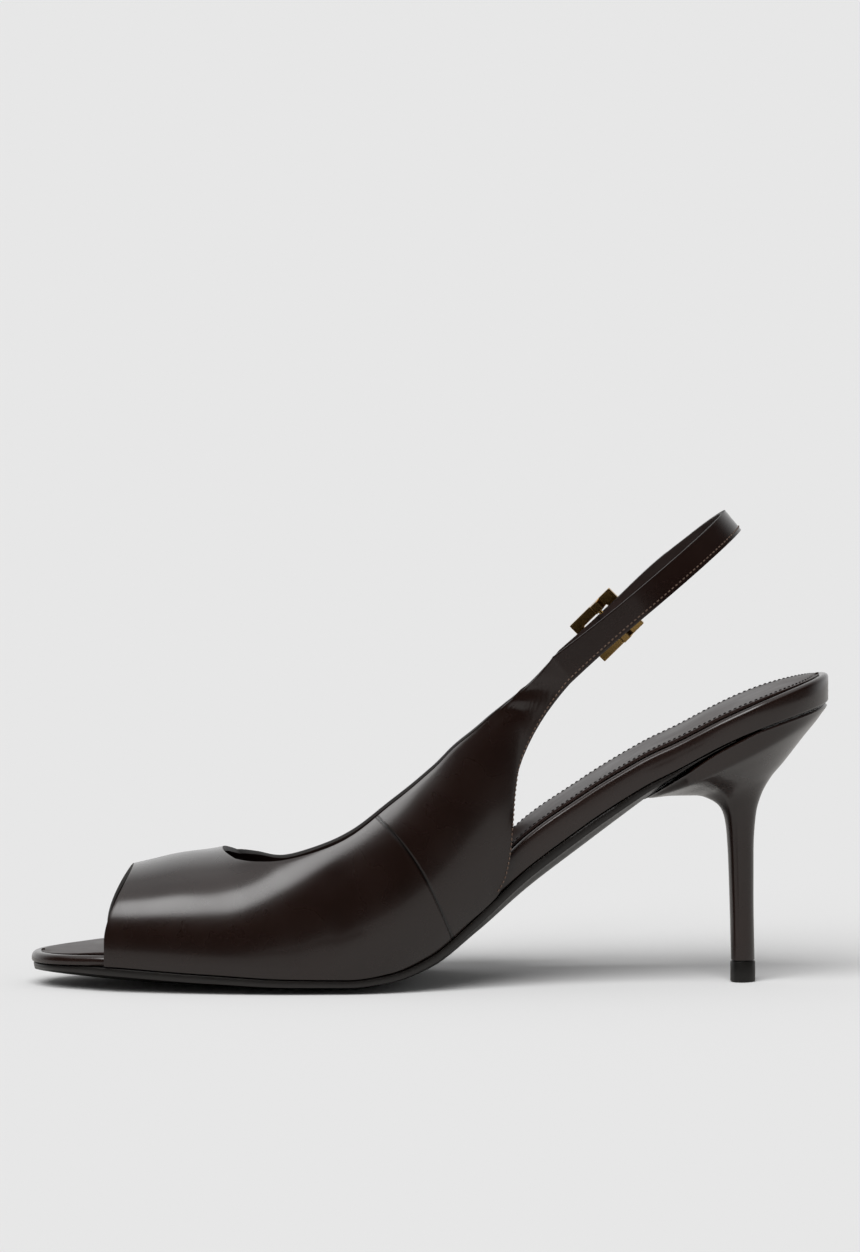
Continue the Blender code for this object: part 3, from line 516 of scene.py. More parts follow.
def flush(x: np.ndarray) -> np.ndarray:
    """An outline left where it is."""
    return 0.0 * x


def put_in_scene(name: str, data: bpy.types.ID) -> bpy.types.Object:
    """Make an object of a mesh, light or camera and link it.

    Args:
        name: the object's name.
        data: what it shows.

    Returns:
        The new object.
    """
    obj = bpy.data.objects.new(name, data)
    bpy.context.scene.collection.objects.link(obj)
    return obj


def weld(mesh: bpy.types.Mesh, distance: float) -> None:
    """Join points that lie close together and turn the faces outward.

    Args:
        mesh: the mesh, changed in place.
        distance: how close they lie.
    """
    work = bmesh.new()
    work.from_mesh(mesh)
    bmesh.ops.remove_doubles(work, verts=work.verts, dist=distance)
    bmesh.ops.recalc_face_normals(work, faces=work.faces)
    work.to_mesh(mesh)
    work.free()


def bridge(rings: Sequence[Sequence[int]]) -> list[list[int]]:
    """Faces between closed rings of points.

    Args:
        rings: point numbers, as many in each ring.

    Returns:
        The faces, each ring joined to the next.
    """
    faces = []
    for low, high in zip(rings, rings[1:]):
        for i in range(len(low)):
            j = (i + 1) % len(low)
            faces.append([low[i], low[j], high[j], high[i]])
    return faces


def new_piece(name: str, vertices: np.ndarray, faces: list, materials: Sequence[bpy.types.Material],
              sharp: float = 40.0) -> bpy.types.Object:
    """A smooth mesh piece that rides on the shoe.

    Args:
        name: the piece's name.
        vertices: points in the sole's own coordinates.
        faces: lists of point numbers.
        materials: the piece's materials.
        sharp: angle in degrees from which an edge stays sharp.

    Returns:
        The new object.
    """
    mesh = bpy.data.meshes.new(name)
    mesh.from_pydata((np.asarray(vertices) - ORIGIN).tolist(), [], faces)
    mesh.validate()
    weld(mesh, WELD)
    mesh.shade_smooth()
    mesh.set_sharp_from_angle(angle=math.radians(sharp))
    for material in materials:
        mesh.materials.append(material)
    obj = put_in_scene(name, mesh)
    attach(obj, BODY)
    LOG.info("%s: %d faces", name, len(mesh.polygons))
    return obj


@dataclass(frozen=True)
class Layer:
    """One level of a sole piece: how far its outline is drawn in and how high it lies."""

    inset: float
    height: Callable[[np.ndarray, np.ndarray], np.ndarray]


@dataclass
class SoleLayer:
    """A closed piece over the sole's outline, built from layers."""

    stations: int = 150
    columns: int = 20
    end: float | None = None
    crowding: float = 1.5
    meeting: float = 0.00002

    def edges(self, outset: Callable[[np.ndarray], np.ndarray],
              inset: float) -> tuple[np.ndarray, np.ndarray]:
        """Inner and outer outline, moved along their normals.

        Args:
            outset: how far the outline moves outward at each place.
            inset: how far the whole outline is drawn in.

        Returns:
            The two lines, from the toe to the end.
        """
        x = SOLE.places(self.stations, self.end)
        lines = []
        for side in (-1, 1):
            line = np.stack([x, SOLE.middle(x) + side * SOLE.half_width(x)], -1)
            run = np.gradient(line, axis=0)
            run[0] = (0.0, side)
            if self.end is None:
                run[-1] = (0.0, -side)
            run = normalised(run)
            normal = np.stack([-run[:, 1], run[:, 0]], -1) * side
            lines.append(line + normal * (outset(x) - inset)[:, None])
        return lines[0], lines[1]

    def build(self, name: str, layers: Sequence[Layer], materials: Sequence[bpy.types.Material], slot: str,
              outset: Callable[[np.ndarray], np.ndarray] = flush) -> bpy.types.Object:
        """Build the piece.

        Args:
            name: the piece's name.
            layers: its levels from the bottom up; the first and last are closed across.
            materials: its materials.
            slot: not used.
            outset: how far the outline moves outward at each place.

        Returns:
            The new object.
        """
        share = np.linspace(-1, 1, self.columns + 1)
        share = np.sign(share) * (1 - (1 - np.abs(share)) ** self.crowding)
        vertices: list[np.ndarray] = []
        faces: list[list[int]] = []
        rings = []
        for number, layer in enumerate(layers):
            inner, outer = self.edges(outset, layer.inset)
            t = (share + 1) / 2
            plan = inner[:, None, :] * (1 - t)[None, :, None] + outer[:, None, :] * t[None, :, None]
            height = layer.height(plan[:, :, 0], np.broadcast_to(share, plan.shape[:2]))
            grid = np.concatenate([plan, height[:, :, None]], -1)
            start = sum(len(v) for v in vertices)
            vertices.append(grid.reshape(-1, 3))
            rows, count = plan.shape[:2]
            index = start + np.arange(rows * count).reshape(rows, count)
            rings.append([*index[:, 0], *index[-1, 1:-1], *index[::-1, -1], *index[0, -2:0:-1]])
            if number in (0, len(layers) - 1):
                for i in range(rows - 1):
                    for j in range(count - 1):
                        faces.append([index[i, j], index[i, j + 1], index[i + 1, j + 1], index[i + 1, j]])
        faces += bridge(rings)
        points = np.concatenate(vertices)
        used = sorted({int(v) for face in faces for v in face})
        place = {old: new for new, old in enumerate(used)}
        faces = [[place[int(v)] for v in face] for face in faces]
        obj = new_piece(name, points[used], faces, materials)
        weld(obj.data, self.meeting)
        return obj


@dataclass(frozen=True)
class StitchRow:
    """A row of lockstitches laid on a surface."""

    pitch: float = 0.0014
    gap: float = 0.00042
    radius: float = 0.00021
    sides: int = 6
    look_ahead: float = 0.0002
    # One stitch: share of its length, how high its middle lies and how thick it is, both in radii.
    profile: tuple[tuple[float, float, float], ...] = (
        (0.0, -0.9, 0.55), (0.18, 0.15, 0.95), (0.5, 0.45, 1.0), (0.82, 0.15, 0.95), (1.0, -0.9, 0.55),
    )

    def build(self, name: str, path: np.ndarray, normals: np.ndarray, material: bpy.types.Material,
              slot: str) -> bpy.types.Object:
        """Lay the stitches along a path.

        Args:
            name: the piece's name.
            path: points along the seam, in the sole's coordinates.
            normals: the surface's outward direction at each.
            material: the thread.
            slot: not used.

        Returns:
            The new object.
        """
        lengths = np.concatenate([[0], np.cumsum(np.linalg.norm(np.diff(path, axis=0), axis=1))])
        vertices, faces = [], []

        def read(values: np.ndarray, place: float) -> np.ndarray:
            """Values at a distance along the path."""
            return np.array([np.interp(place, lengths, values[:, column]) for column in range(3)])

        for number in range(int(lengths[-1] / self.pitch)):
            start = len(vertices)
            for share, rise, thick in self.profile:
                place = number * self.pitch + share * (self.pitch - self.gap)
                centre, up = read(path, place), normalised(read(normals, place))
                step = read(path, place + self.look_ahead) - centre
                run = normalised(step) if np.linalg.norm(step) > 1e-9 else np.array([1.0, 0.0, 0.0])
                wide = normalised(np.cross(up, run))
                centre = centre + up * rise * self.radius
                for side in range(self.sides):
                    angle = 2 * math.pi * side / self.sides
                    out = wide * math.cos(angle) + up * math.sin(angle)
                    vertices.append(centre + out * self.radius * thick)
            rings = [list(range(start + r * self.sides, start + (r + 1) * self.sides))
                     for r in range(len(self.profile))]
            faces += bridge(rings) + [rings[0], rings[-1]]
        return new_piece(name, np.array(vertices), faces, [material], sharp=80.0)


# Pieces


@dataclass
class Bottom:
    """Outsole, wrapped board and sock."""

    sole_ease: float = 0.0003
    sole_flat: float = 0.4
    # Side face of the outsole: how far it is drawn in, at a share of its height.
    sole_side: tuple[tuple[float, float], ...] = ((0.00005, 0.18), (0.0, 0.4), (0.0, 0.7), (0.0001, 0.93))
    edge_radius: float = 0.0016
    edge_step: int = 15
    # Foot of the board's edge, in shares of its radius: how far it is drawn in, and how high.
    edge_foot: tuple[tuple[float, float], ...] = ((0.3, 0.0), (0.1, 0.1), (0.0, 0.35))
    back_lift: float = 0.0009
    back_run: float = 0.030
    sock_thickness: float = 0.0009
    sock_inset: float = 0.0011
    sock_crown: float = 0.0004
    sock_wall: float = 0.3
    # Pillowed edge of the sock, in shares of its thickness: how far it is drawn in, and how far down.
    sock_edge: tuple[tuple[float, float], ...] = ((0.15, 0.07), (0.5, 0.02), (1.1, 0.0))
    sock_stations: int = 170
    sock_columns: int = 28
    sock_skive: float = 0.035
    toe_pare: float = 0.1
    back_pare: float = 0.3
    stitch_inset: float = 0.0042
    stitch_start: float = 0.024
    stitch_stations: int = 400
    stitch_trim: int = 6
    stitch_place: float = 0.9
    stitch: StitchRow = StitchRow(pitch=0.0016, gap=0.0005, radius=0.00017)

    def outsole(self) -> bpy.types.Object:
        """The moulded outsole, with an eased side face.

        Returns:
            The piece "sole".
        """
        def bottom(x: np.ndarray, across: np.ndarray) -> np.ndarray:
            """Underside, turned up towards the side face."""
            edge = SOLE.outsole_top(x) - SOLE.value("outsole", x) * SOLE.outsole_edge
            return mix(SOLE.belly(x), edge, smooth((np.abs(across) - self.sole_flat) / (1 - self.sole_flat)))

        def level(share: float) -> Callable[[np.ndarray, np.ndarray], np.ndarray]:
            """Height at a share of the side face."""
            return lambda x, across: mix(bottom(x, 1.0 + 0 * x), SOLE.outsole_top(x), share)

        layers = [Layer(self.sole_ease, bottom)]
        layers += [Layer(inset, level(share)) for inset, share in self.sole_side]
        layers.append(Layer(self.sole_ease, lambda x, across: SOLE.outsole_top(x)))
        maker = SoleLayer(end=SOLE.tongue_end)
        piece = maker.build("sole", layers, [Finish.outsole.material()], "outsole", SOLE.rim)
        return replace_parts(piece, "outsole")

    def seat_top(self, x: np.ndarray) -> np.ndarray:
        """Top of the board, turned up a little at the back of the seat."""
        return SOLE.board_top(x) + self.back_lift * smooth(1 - (SOLE.length - x) / self.back_run)

    def pared(self, x: np.ndarray) -> np.ndarray:
        """Share of its thickness that the sock keeps, thin at the toe and at the back."""
        back = mix(self.back_pare, 1.0, smooth((SOLE.length - x) / self.back_run))
        return mix(self.toe_pare, 1.0, smooth(x / self.sock_skive)) * back

    def board(self) -> bpy.types.Object:
        """The wrapped platform, its leather turned over a rounded edge.

        Returns:
            The piece "platform".
        """
        radius = self.edge_radius
        layers = [Layer(inset * radius, lambda x, across, rise=rise: SOLE.board_base(x) + rise * radius)
                  for inset, rise in self.edge_foot]
        for turn in range(0, 91, self.edge_step):
            angle = math.radians(turn)
            drop = radius * (1 - math.sin(angle))
            layers.append(Layer(radius * (1 - math.cos(angle)),
                                lambda x, across, drop=drop: self.seat_top(x) - drop))
        piece = SoleLayer().build("platform", layers, [Finish.wrap.material()], "leather_edge")
        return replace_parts(piece, "insole_board")

    def sock_top(self, x: np.ndarray, across: np.ndarray) -> np.ndarray:
        """Upper face of the sock."""
        crown = self.sock_crown * (1 - across * across)
        return self.seat_top(x) + (SOLE.clearance + self.sock_thickness) * self.pared(x) + crown

    def sock(self) -> bpy.types.Object:
        """The padded sock, pulled down a little along its perimeter stitch.

        Returns:
            The piece "sock".
        """
        thick = self.sock_thickness
        inset = self.sock_inset + self.edge_radius

        def base(x: np.ndarray, across: np.ndarray) -> np.ndarray:
            """Underside."""
            return self.seat_top(x) + SOLE.clearance * self.pared(x)

        def wall(x: np.ndarray, across: np.ndarray) -> np.ndarray:
            """Top of the upright part of its edge."""
            return base(x, across) + self.sock_wall * thick * self.pared(x)

        def top(lower: float) -> Callable[[np.ndarray, np.ndarray], np.ndarray]:
            """Upper face, lowered."""
            return lambda x, across: self.sock_top(x, across) - lower

        layers = [Layer(inset, base), Layer(inset, wall)]
        layers += [Layer(inset + drawn * thick, top(lower * thick)) for drawn, lower in self.sock_edge]
        maker = SoleLayer(stations=self.sock_stations, columns=self.sock_columns)
        piece = maker.build("sock", layers, [Finish.lining.material()], "sock")
        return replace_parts(piece, "sock_lining")

    def sock_stitches(self) -> bpy.types.Object:
        """Perimeter stitch of the sock.

        Returns:
            The piece "sock_stitches".
        """
        count, trim = self.stitch_stations, self.stitch_trim
        inner, outer = SoleLayer(stations=count).edges(flush, self.stitch_inset)
        inner, outer = (line[line[:, 0] > self.stitch_start] for line in (inner, outer))
        loop = np.concatenate([inner[:-trim], outer[-trim - 1::-1]])
        height = self.sock_top(loop[:, 0], np.full(len(loop), self.stitch_place))
        path = np.concatenate([loop, height[:, None]], -1)
        places = SOLE.places(count)
        slope = np.gradient(self.sock_top(places, np.zeros(count + 1)), places)
        tilt = np.interp(loop[:, 0], places, slope)
        normals = normalised(np.stack([-tilt, 0 * tilt, 1 + 0 * tilt], -1))
        return self.stitch.build("sock_stitches", path, normals, Finish.sock_thread.material(), "sock")


@dataclass
class Heel:
    """The covered heel and its top piece."""

    axis: float = 0.2014
    stem_depth: float = 0.0067
    stem_width: float = 0.0080
    tip_height: float = 0.0059
    tip_proud: float = 0.0002
    prow_start: float = 0.173
    corner: float = 0.17
    corner_width: float = 0.80
    groove: float = 0.00045
    seat_row: float = 8.0
    tongue_ease: float = 0.006
    side_full: float = 0.3
    back_round: float = 0.2
    foot_rows: int = 5
    flare_rows: int = 49
    rim_rows: tuple[float, ...] = (8.92, 8.985, 9.0)
    seat_samples: int = 200
    nose_steps: int = 9
    nose_crowding: float = 1.6
    side_steps: int = 26
    tip_nose: float = 0.5
    tip_nose_steps: int = 6
    tip_side_steps: int = 20
    tip_ease: float = 0.00035
    table: Table = Table("row level_front level_back front back width corner corner_width nose seat", (
        (0, -1.0, -1.0, 0.000, 0.000, 0.000, 0.17, 0.80, 0.50, 0.00),
        (1, 0.477, 0.309, 0.020, -0.015, 0.000, 0.17, 0.80, 0.50, 0.00),
        (2, 0.722, 0.472, 0.040, -0.015, 0.010, 0.17, 0.80, 0.50, 0.00),
        (3, 0.860, 0.598, 0.064, 0.015, 0.035, 0.18, 0.80, 0.50, 0.05),
        (4, 0.940, 0.667, 0.112, 0.083, 0.090, 0.20, 0.82, 0.55, 0.15),
        (5, 0.988, 0.730, 0.220, 0.210, 0.210, 0.23, 0.86, 0.62, 0.30),
        (6, 1.014, 0.792, 0.400, 0.405, 0.420, 0.26, 0.90, 0.70, 0.50),
        (7, 1.012, 0.878, 0.680, 0.660, 0.710, 0.28, 0.94, 0.74, 0.75),
        (8, 1.000, 0.960, 0.920, 0.910, 0.930, 0.27, 0.97, 0.70, 0.95),
        (9, 1.000, 1.000, 1.000, 1.000, 1.000, 0.26, 0.97, 0.62, 1.00),
    ))

    def top(self, x: Value) -> np.ndarray:
        """Top of the heel, under the outsole and, past its end, under the board."""
        past = SOLE.tongue_end + self.tongue_ease - np.asarray(x)
        return SOLE.belly(x) - SOLE.clearance * smooth(past / self.tongue_ease)

    def section(self, u: float, corner: float, corner_width: float, nose: float) -> float:
        """Width of a D section at a share of its depth.

        Args:
            u: share of the depth, from the front.
            corner: share at which the flat front ends.
            corner_width: share of the full width there.
            nose: how sharply the front opens, 0.5 being round.

        Returns:
            The share of the full width.
        """
        if u <= corner:
            return corner_width * (u / corner) ** nose
        v = (u - corner) / (1 - corner)
        swell = mix(corner_width, 1.0, math.sin(math.pi / 2 * min(1.0, v / self.side_full)))
        rounded = max(0.0, v - self.back_round) / (1 - self.back_round)
        return swell * math.sqrt(max(0.0, 1 - rounded ** 2))

    def depths(self, corner: float, nose_steps: int, side_steps: int, crowding: float) -> list[float]:
        """Shares of the depth at which a section has its points.

        Args:
            corner: share at which the flat front ends.
            nose_steps: points before it.
            side_steps: steps after it.
            crowding: how much closer the first points lie to the front.

        Returns:
            The shares, from the front.
        """
        front = [corner * (i / nose_steps) ** crowding for i in range(nose_steps)]
        back = [mix(corner, 1.0, math.sin(math.pi / 2 * i / side_steps)) for i in range(side_steps + 1)]
        return front + back

    def heel(self) -> bpy.types.Object:
        """The heel from its stem to the seat, with a fine groove under the board.

        Returns:
            The piece "covered_heel".
        """
        back_end = SOLE.length - SOLE.clearance
        reach = np.linspace(self.prow_start, back_end, self.seat_samples)
        seat_half = float(np.max(SOLE.half_width(reach))) - SOLE.clearance
        foot = self.tip_height + SOLE.clearance
        front_top, back_top = float(self.top(self.prow_start)), float(self.top(back_end))
        columns = {name: values.copy() for name, values in self.table.values.items()}
        columns["level_front"][0], columns["level_back"][0] = foot / front_top, foot / back_top
        table = Table(" ".join(columns), np.stack(list(columns.values()), -1))
        last = self.rim_rows[-1]
        rows = np.concatenate([np.linspace(0, 1, self.foot_rows),
                               np.linspace(1, last, self.flare_rows)[1:-1], self.rim_rows])
        stem = self.stem_depth / 2
        vertices, rings = [], []
        for place in rows:
            row = {name: float(table.at(name, place)) for name in columns}
            front_x = self.axis - mix(stem, self.axis - self.prow_start, row["front"])
            back_x = self.axis + mix(stem, back_end - self.axis, row["back"])
            half = mix(self.stem_width / 2, seat_half, row["width"])
            bend = float(smooth(place - self.seat_row))
            outline = []
            for u in self.depths(row["corner"], self.nose_steps, self.side_steps, self.nose_crowding):
                x = mix(front_x, back_x, u)
                width = self.section(u, row["corner"], row["corner_width"], row["nose"])
                under = mix(self.prow_start, back_end, u)
                seat = max(0.0, float(SOLE.half_width(under + SOLE.clearance)) - SOLE.clearance) / seat_half
                if u <= row["corner"]:
                    seat *= (u / row["corner"]) ** row["nose"]
                z = mix(row["level_front"] * front_top, row["level_back"] * back_top, u)
                z += bend * (float(self.top(x)) - mix(front_top, back_top, u))
                side = half * mix(width, seat, row["seat"])
                if place < last:
                    z -= bend * self.groove
                else:
                    side = max(0.0, side - self.groove)
                    x -= self.groove * (2 * u - 1)
                outline.append((x, side, z))
            start = len(vertices)
            vertices += [(x, -y, z) for x, y, z in outline]
            vertices += [(x, y, z) for x, y, z in reversed(outline[1:-1])]
            rings.append(list(range(start, len(vertices))))
        faces = bridge(rings)
        for ring in (rings[0], rings[-1]):
            half_count = len(ring) // 2
            faces.append([ring[0], ring[1], ring[-1]])
            for i in range(1, half_count - 1):
                faces.append([ring[i], ring[i + 1], ring[-i - 1], ring[-i]])
            faces.append([ring[half_count - 1], ring[half_count], ring[half_count + 1]])
        piece = new_piece("covered_heel", np.array(vertices), faces, [Finish.wrap.material()],
                          sharp=50.0)
        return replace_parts(piece, "heel")

    def tip(self) -> bpy.types.Object:
        """The moulded top piece, its edges just eased.

        Returns:
            The piece "top_piece".
        """
        depth, half = self.stem_depth + 2 * self.tip_proud, self.stem_width / 2 + self.tip_proud
        front_x = self.axis - depth / 2
        places = self.depths(self.corner, self.tip_nose_steps, self.tip_side_steps, 1.0)
        shape = (self.corner, self.corner_width, self.tip_nose)
        outline = [(front_x + depth * u, half * self.section(u, *shape)) for u in places]
        loop = np.array([(x, -y) for x, y in outline] + [(x, y) for x, y in reversed(outline[1:-1])])
        centre = np.array([self.axis, 0.0])
        ease, chamfer = self.tip_ease, 0.3 * self.tip_ease
        levels = [(ease, 0.0), (chamfer, chamfer), (0.0, ease), (0.0, self.tip_height - ease),
                  (chamfer, self.tip_height - chamfer), (ease, self.tip_height)]
        vertices, rings = [], []
        for inset, z in levels:
            start = len(vertices)
            vertices += [(x, y, z) for x, y in loop - normalised(loop - centre) * inset]
            rings.append(list(range(start, len(vertices))))
        faces = bridge(rings) + [rings[0], rings[-1]]
        piece = new_piece("top_piece", np.array(vertices), faces, [Finish.tip.material()])
        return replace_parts(piece, "heel_tip")


@dataclass(frozen=True)
class Crease:
    """A soft fold pressed into the leather."""

    x: float
    z: float
    angle: float
    length: float
    width: float
    depth: float


@dataclass
class Upper:
    """Vamp, quarters, sling strap and tab, in one leather wall."""

    toe_low: float = 0.0209
    toe_top: float = 0.0289
    toe_upright: float = 0.30
    toe_curl: float = 1.7
    toe_square: float = 2.4
    throat: float = 0.054
    strap_draw: float = 0.012
    lateral_drop: float = 0.0044
    lateral_start: float = 0.2
    lateral_ease: float = 0.30
    drop_kept: float = 0.25
    drop_fade: float = 1.5
    strap_width: float = 0.0071
    strap_flare: float = 0.25
    strap_thickness: float = 0.0018
    strap_angle: float = math.radians(39.8)
    strap_reach: float = 0.063
    strap_straight: float = 0.028
    strap_taper: float = 0.0020
    strap_blend: float = 0.74
    strap_join: float = 0.90
    tab_length: float = 0.0465
    tab_tip: float = 0.006
    tab_rise: float = 0.0012
    tab_hump: float = 0.0018
    buckle_length: float = 0.0158
    buckle_centre: float = 0.0153
    hinge_share: float = 0.62
    pin_radius: float = 0.0006
    loop_leather: float = 0.0008
    vamp_ribs: int = 40
    columns: int = 18
    crest_columns: int = 9
    quarter_ribs: int = 130
    strap_ribs: int = 150
    stitch_inset: float = 0.0011
    stitch_from: float = 0.745
    stitch_ribs: int = 90
    stitch_middle: float = 0.15
    way_step: float = 0.01
    tab_clear: float = 0.010
    tab_ease: float = 0.008
    pare_ribs: int = 12
    thicken_ribs: int = 20
    hook_step: int = 10
    tab_ribs: int = 110
    tip_blunt: float = 0.12
    plan_samples: int = 2001
    crease_bow: float = 0.25
    seam_top: float = 0.06
    seam_samples: int = 200
    edge_roll: float = 0.00035
    edge_angle: float = math.radians(55)
    table: Table = Table("step low low_rise top top_rise", (
        (0.00, 0.2750, 0.000, 0.2572, 0.915),
        (0.10, 0.3000, 0.000, 0.2812, 0.841),
        (0.25, 0.3500, 0.000, 0.3150, 0.767),
        (0.40, 0.4150, 0.000, 0.3850, 0.706),
        (0.55, 0.4900, 0.000, 0.4650, 0.749),
        (0.66, 0.5450, 0.000, 0.5200, 0.739),
        (0.73, 0.5790, 0.000, 0.5560, 0.696),
        (0.77, 0.5920, 0.020, 0.5740, 0.678),
        (0.82, 0.6010, 0.110, 0.5930, 0.655),
        (0.88, 0.6065, 0.300, 0.6110, 0.635),
        (0.94, 0.6190, 0.445, 0.6330, 0.622),
        (1.00, 0.6760, 0.520, 0.6550, 0.621),
    ))
    # Where the quarter is sewn to the vamp: x behind the toe against height over the floor.
    seam: Table = Table("z x", (
        (0.0060, 0.1215), (0.0148, 0.1194), (0.0228, 0.1162), (0.0296, 0.1131), (0.0366, 0.1091),
        (0.0436, 0.1039), (0.0500, 0.0975),
    ))
    creases: tuple[Crease, ...] = (
        Crease(0.1415, 0.0850, 0.10, 0.006, 0.0018, 0.00042),
        Crease(0.1375, 0.0795, -0.25, 0.005, 0.0016, 0.00036),
        Crease(0.1340, 0.0785, 0.35, 0.006, 0.0018, 0.00036),
        Crease(0.0830, 0.0300, 0.75, 0.014, 0.0030, 0.00016),
        Crease(0.0910, 0.0270, 0.85, 0.012, 0.0026, 0.00014),
    )

    def __post_init__(self) -> None:
        """Work out where the strap leaves the quarter."""
        low, top = (float(self.table.values[c][-1]) * SOLE.length for c in ("low", "top"))
        low_point = LAST.point(Side.INNER, low, LAST.turn_at(low, self.table.values["low_rise"][-1]))
        top_point = LAST.point(Side.INNER, top, LAST.turn_at(top, self.table.values["top_rise"][-1]))
        centre = (low_point + top_point) / 2
        self.root_x, self.root_z = float(centre[0]), float(centre[2])
        self.root_half = float(abs(centre[1] - SOLE.middle(centre[0])))
        self.along = np.array([math.cos(self.strap_angle), 0.0, math.sin(self.strap_angle)])
        self.upward = np.array([-math.sin(self.strap_angle), 0.0, math.cos(self.strap_angle)])
        self.hinge, self.run, self.out, self.rise = self.buckle_axes()

    def strap_half(self, along: float) -> float:
        """Half of the strap's width."""
        return self.strap_width / 2 * (1 + self.strap_flare * max(0.0, 1 - along / self.strap_straight) ** 2)

    def loop_plan(self, t: float) -> tuple[float, float]:
        """Half of the strap's loop in its own plane, from the root to the back.

        Args:
            t: share of the way.

        Returns:
            Distance along the strap, and out from the middle.
        """
        end = (self.strap_straight, self.root_half - self.strap_taper)
        share = self.strap_straight / (self.strap_reach + self.root_half / 2)
        if t < share:
            return mix(0.0, end[0], t / share), mix(self.root_half, end[1], t / share)
        t = (t - share) / (1 - share)
        lead = 0.5 * (self.strap_reach - self.strap_straight)
        points = (end, (end[0] + lead, end[1] - lead * self.strap_taper / self.strap_straight),
                  (self.strap_reach, 0.5 * end[1]), (self.strap_reach, 0.0))
        weights = ((1 - t) ** 3, 3 * t * (1 - t) ** 2, 3 * t * t * (1 - t), t ** 3)
        return tuple(sum(w * p[k] for w, p in zip(weights, points)) for k in (0, 1))

    def strap_point(self, along: float, out: float, up: float = 0.0) -> np.ndarray:
        """A point of the strap's plane: along it, out from the middle, and up its width.

        Args:
            along: distance from the root.
            out: distance from the middle, outer side positive.
            up: distance up its width.

        Returns:
            The point.
        """
        fade = max(0.0, 1 - along / self.strap_reach)
        base = np.array([self.root_x, float(SOLE.middle(self.root_x)) * fade + out, self.root_z])
        drop = 0.0
        if out > 0:
            straight = along / self.strap_straight
            past = max(0.0, 1 - self.drop_fade * (straight - 1))
            share = 1 - (1 - self.drop_kept) * straight if straight <= 1 else self.drop_kept * past ** 2
            drop = share * self.lateral_drop * math.cos(self.strap_angle)
        return base + self.along * along + self.upward * (up - drop)

    def strap_side(self, along: float) -> np.ndarray:
        """Outer face of the tab on the outer side, in the middle of its width."""
        share = self.strap_straight / (self.strap_reach + self.root_half / 2)
        return self.strap_point(*self.loop_plan(share * along / self.strap_straight))

    def buckle_axes(self) -> tuple[np.ndarray, np.ndarray, np.ndarray, np.ndarray]:
        """Seat of the hinge bar on the outer strap, and the buckle's own directions.

        Returns:
            The seat, and the directions along the strap, out of it and up its width.
        """
        place = self.buckle_centre + (self.hinge_share - 0.5) * self.buckle_length
        start, end = self.strap_side(0.0), self.strap_side(self.strap_straight)
        run = normalised(end - start)
        out = normalised(np.cross(self.upward, run))
        out = -out if out[1] < 0 else out
        return start + run * place, run, out, normalised(np.cross(out, run))

    def topline(self, side: Side, step: float) -> tuple[float, float]:
        """Place and turn of the topline at one rib of a quarter.

        Args:
            side: which side of the shoe.
            step: share of the quarter's ribs.

        Returns:
            Distance back from the toe tip, and the last's turn.
        """
        top = float(self.table.at("top", step)) * SOLE.length
        rise = float(self.table.at("top_rise", step))
        if side is Side.OUTER:
            eased = mix(self.lateral_start, 1.0, float(smooth(step / self.lateral_ease)))
            rise -= self.lateral_drop / float(LAST.height(top)) * eased
        return top, float(LAST.turn_at(top, rise))

    def quarter_rib(self, side: Side, step: float) -> np.ndarray:
        """Points of one rib of a quarter, from its lower edge to the topline.

        Args:
            side: which side of the shoe.
            step: share of the quarter's ribs.

        Returns:
            The points, lower edge first.
        """
        low = float(self.table.at("low", step)) * SOLE.length
        low_rise = float(self.table.at("low_rise", step))
        top, top_turn = self.topline(side, step)
        blend = float(smooth((step - self.strap_blend) / (1 - self.strap_blend)))
        join = float(smooth((step - self.strap_join) / (1 - self.strap_join)))
        if side is Side.OUTER:
            low_rise = max(0.0, low_rise - self.lateral_drop / float(LAST.height(top)) * blend)
        b = np.linspace(0, 1, self.columns + 1)
        points = LAST.point(side, mix(low, top, b), mix(float(LAST.turn_at(low, low_rise)), top_turn, b))
        half = self.strap_half(0.0)
        root = np.array([self.strap_point(0.0, side.value * self.root_half, (2 * v - 1) * half) for v in b])
        over = smooth((points[:, 2] - SOLE.board_top(points[:, 0])) / self.strap_draw)
        points[:, 1] = mix(points[:, 1], root[:, 1], blend * over)
        return mix(points, root, join)

    def vamp_rib(self, share: float) -> np.ndarray:
        """Points of one rib of the vamp, from the inner edge over the crest to the outer edge.

        Args:
            share: share of the way from the toe opening to the throat.

        Returns:
            The points, inner edge first.
        """
        low = mix(self.toe_low, float(self.table.values["low"][0]) * SOLE.length, share)
        top = mix(self.toe_top, self.throat, share)
        count = self.columns + self.crest_columns
        b = np.linspace(0, 1, count + 1)
        split = self.columns / count
        sides = []
        for side in Side:
            corner, bend = self.topline(side, 0.0)
            corner += top - self.throat
            crest = b > split
            curved = np.where(crest, mix(top, corner, ((1 - b) / (1 - split)) ** 2),
                              mix(low, corner, b / split))
            turn = np.where(crest, mix(bend, math.pi / 2, (b - split) / (1 - split)), bend * b / split)
            rise = np.sin(turn) ** (2 / self.toe_square)
            curl = np.clip((rise - self.toe_upright) / (1 - self.toe_upright), 0, 1) ** self.toe_curl
            edge = mix(low, top, curl)
            sides.append(LAST.point(side, mix(edge, curved, share * share), turn))
        return np.concatenate([sides[0], sides[1][-2::-1]])

    def across(self, middle: np.ndarray, half: float) -> np.ndarray:
        """Points over the strap's width."""
        return middle + self.upward * half * np.linspace(-1, 1, self.columns + 1)[:, None]

    def pin_level(self) -> float:
        """Level of the hinge bar's middle under the tab's outer face."""
        leather = SOLE.wall + self.loop_leather
        return self.tab_rise - leather - 2 * SOLE.clearance - self.pin_radius

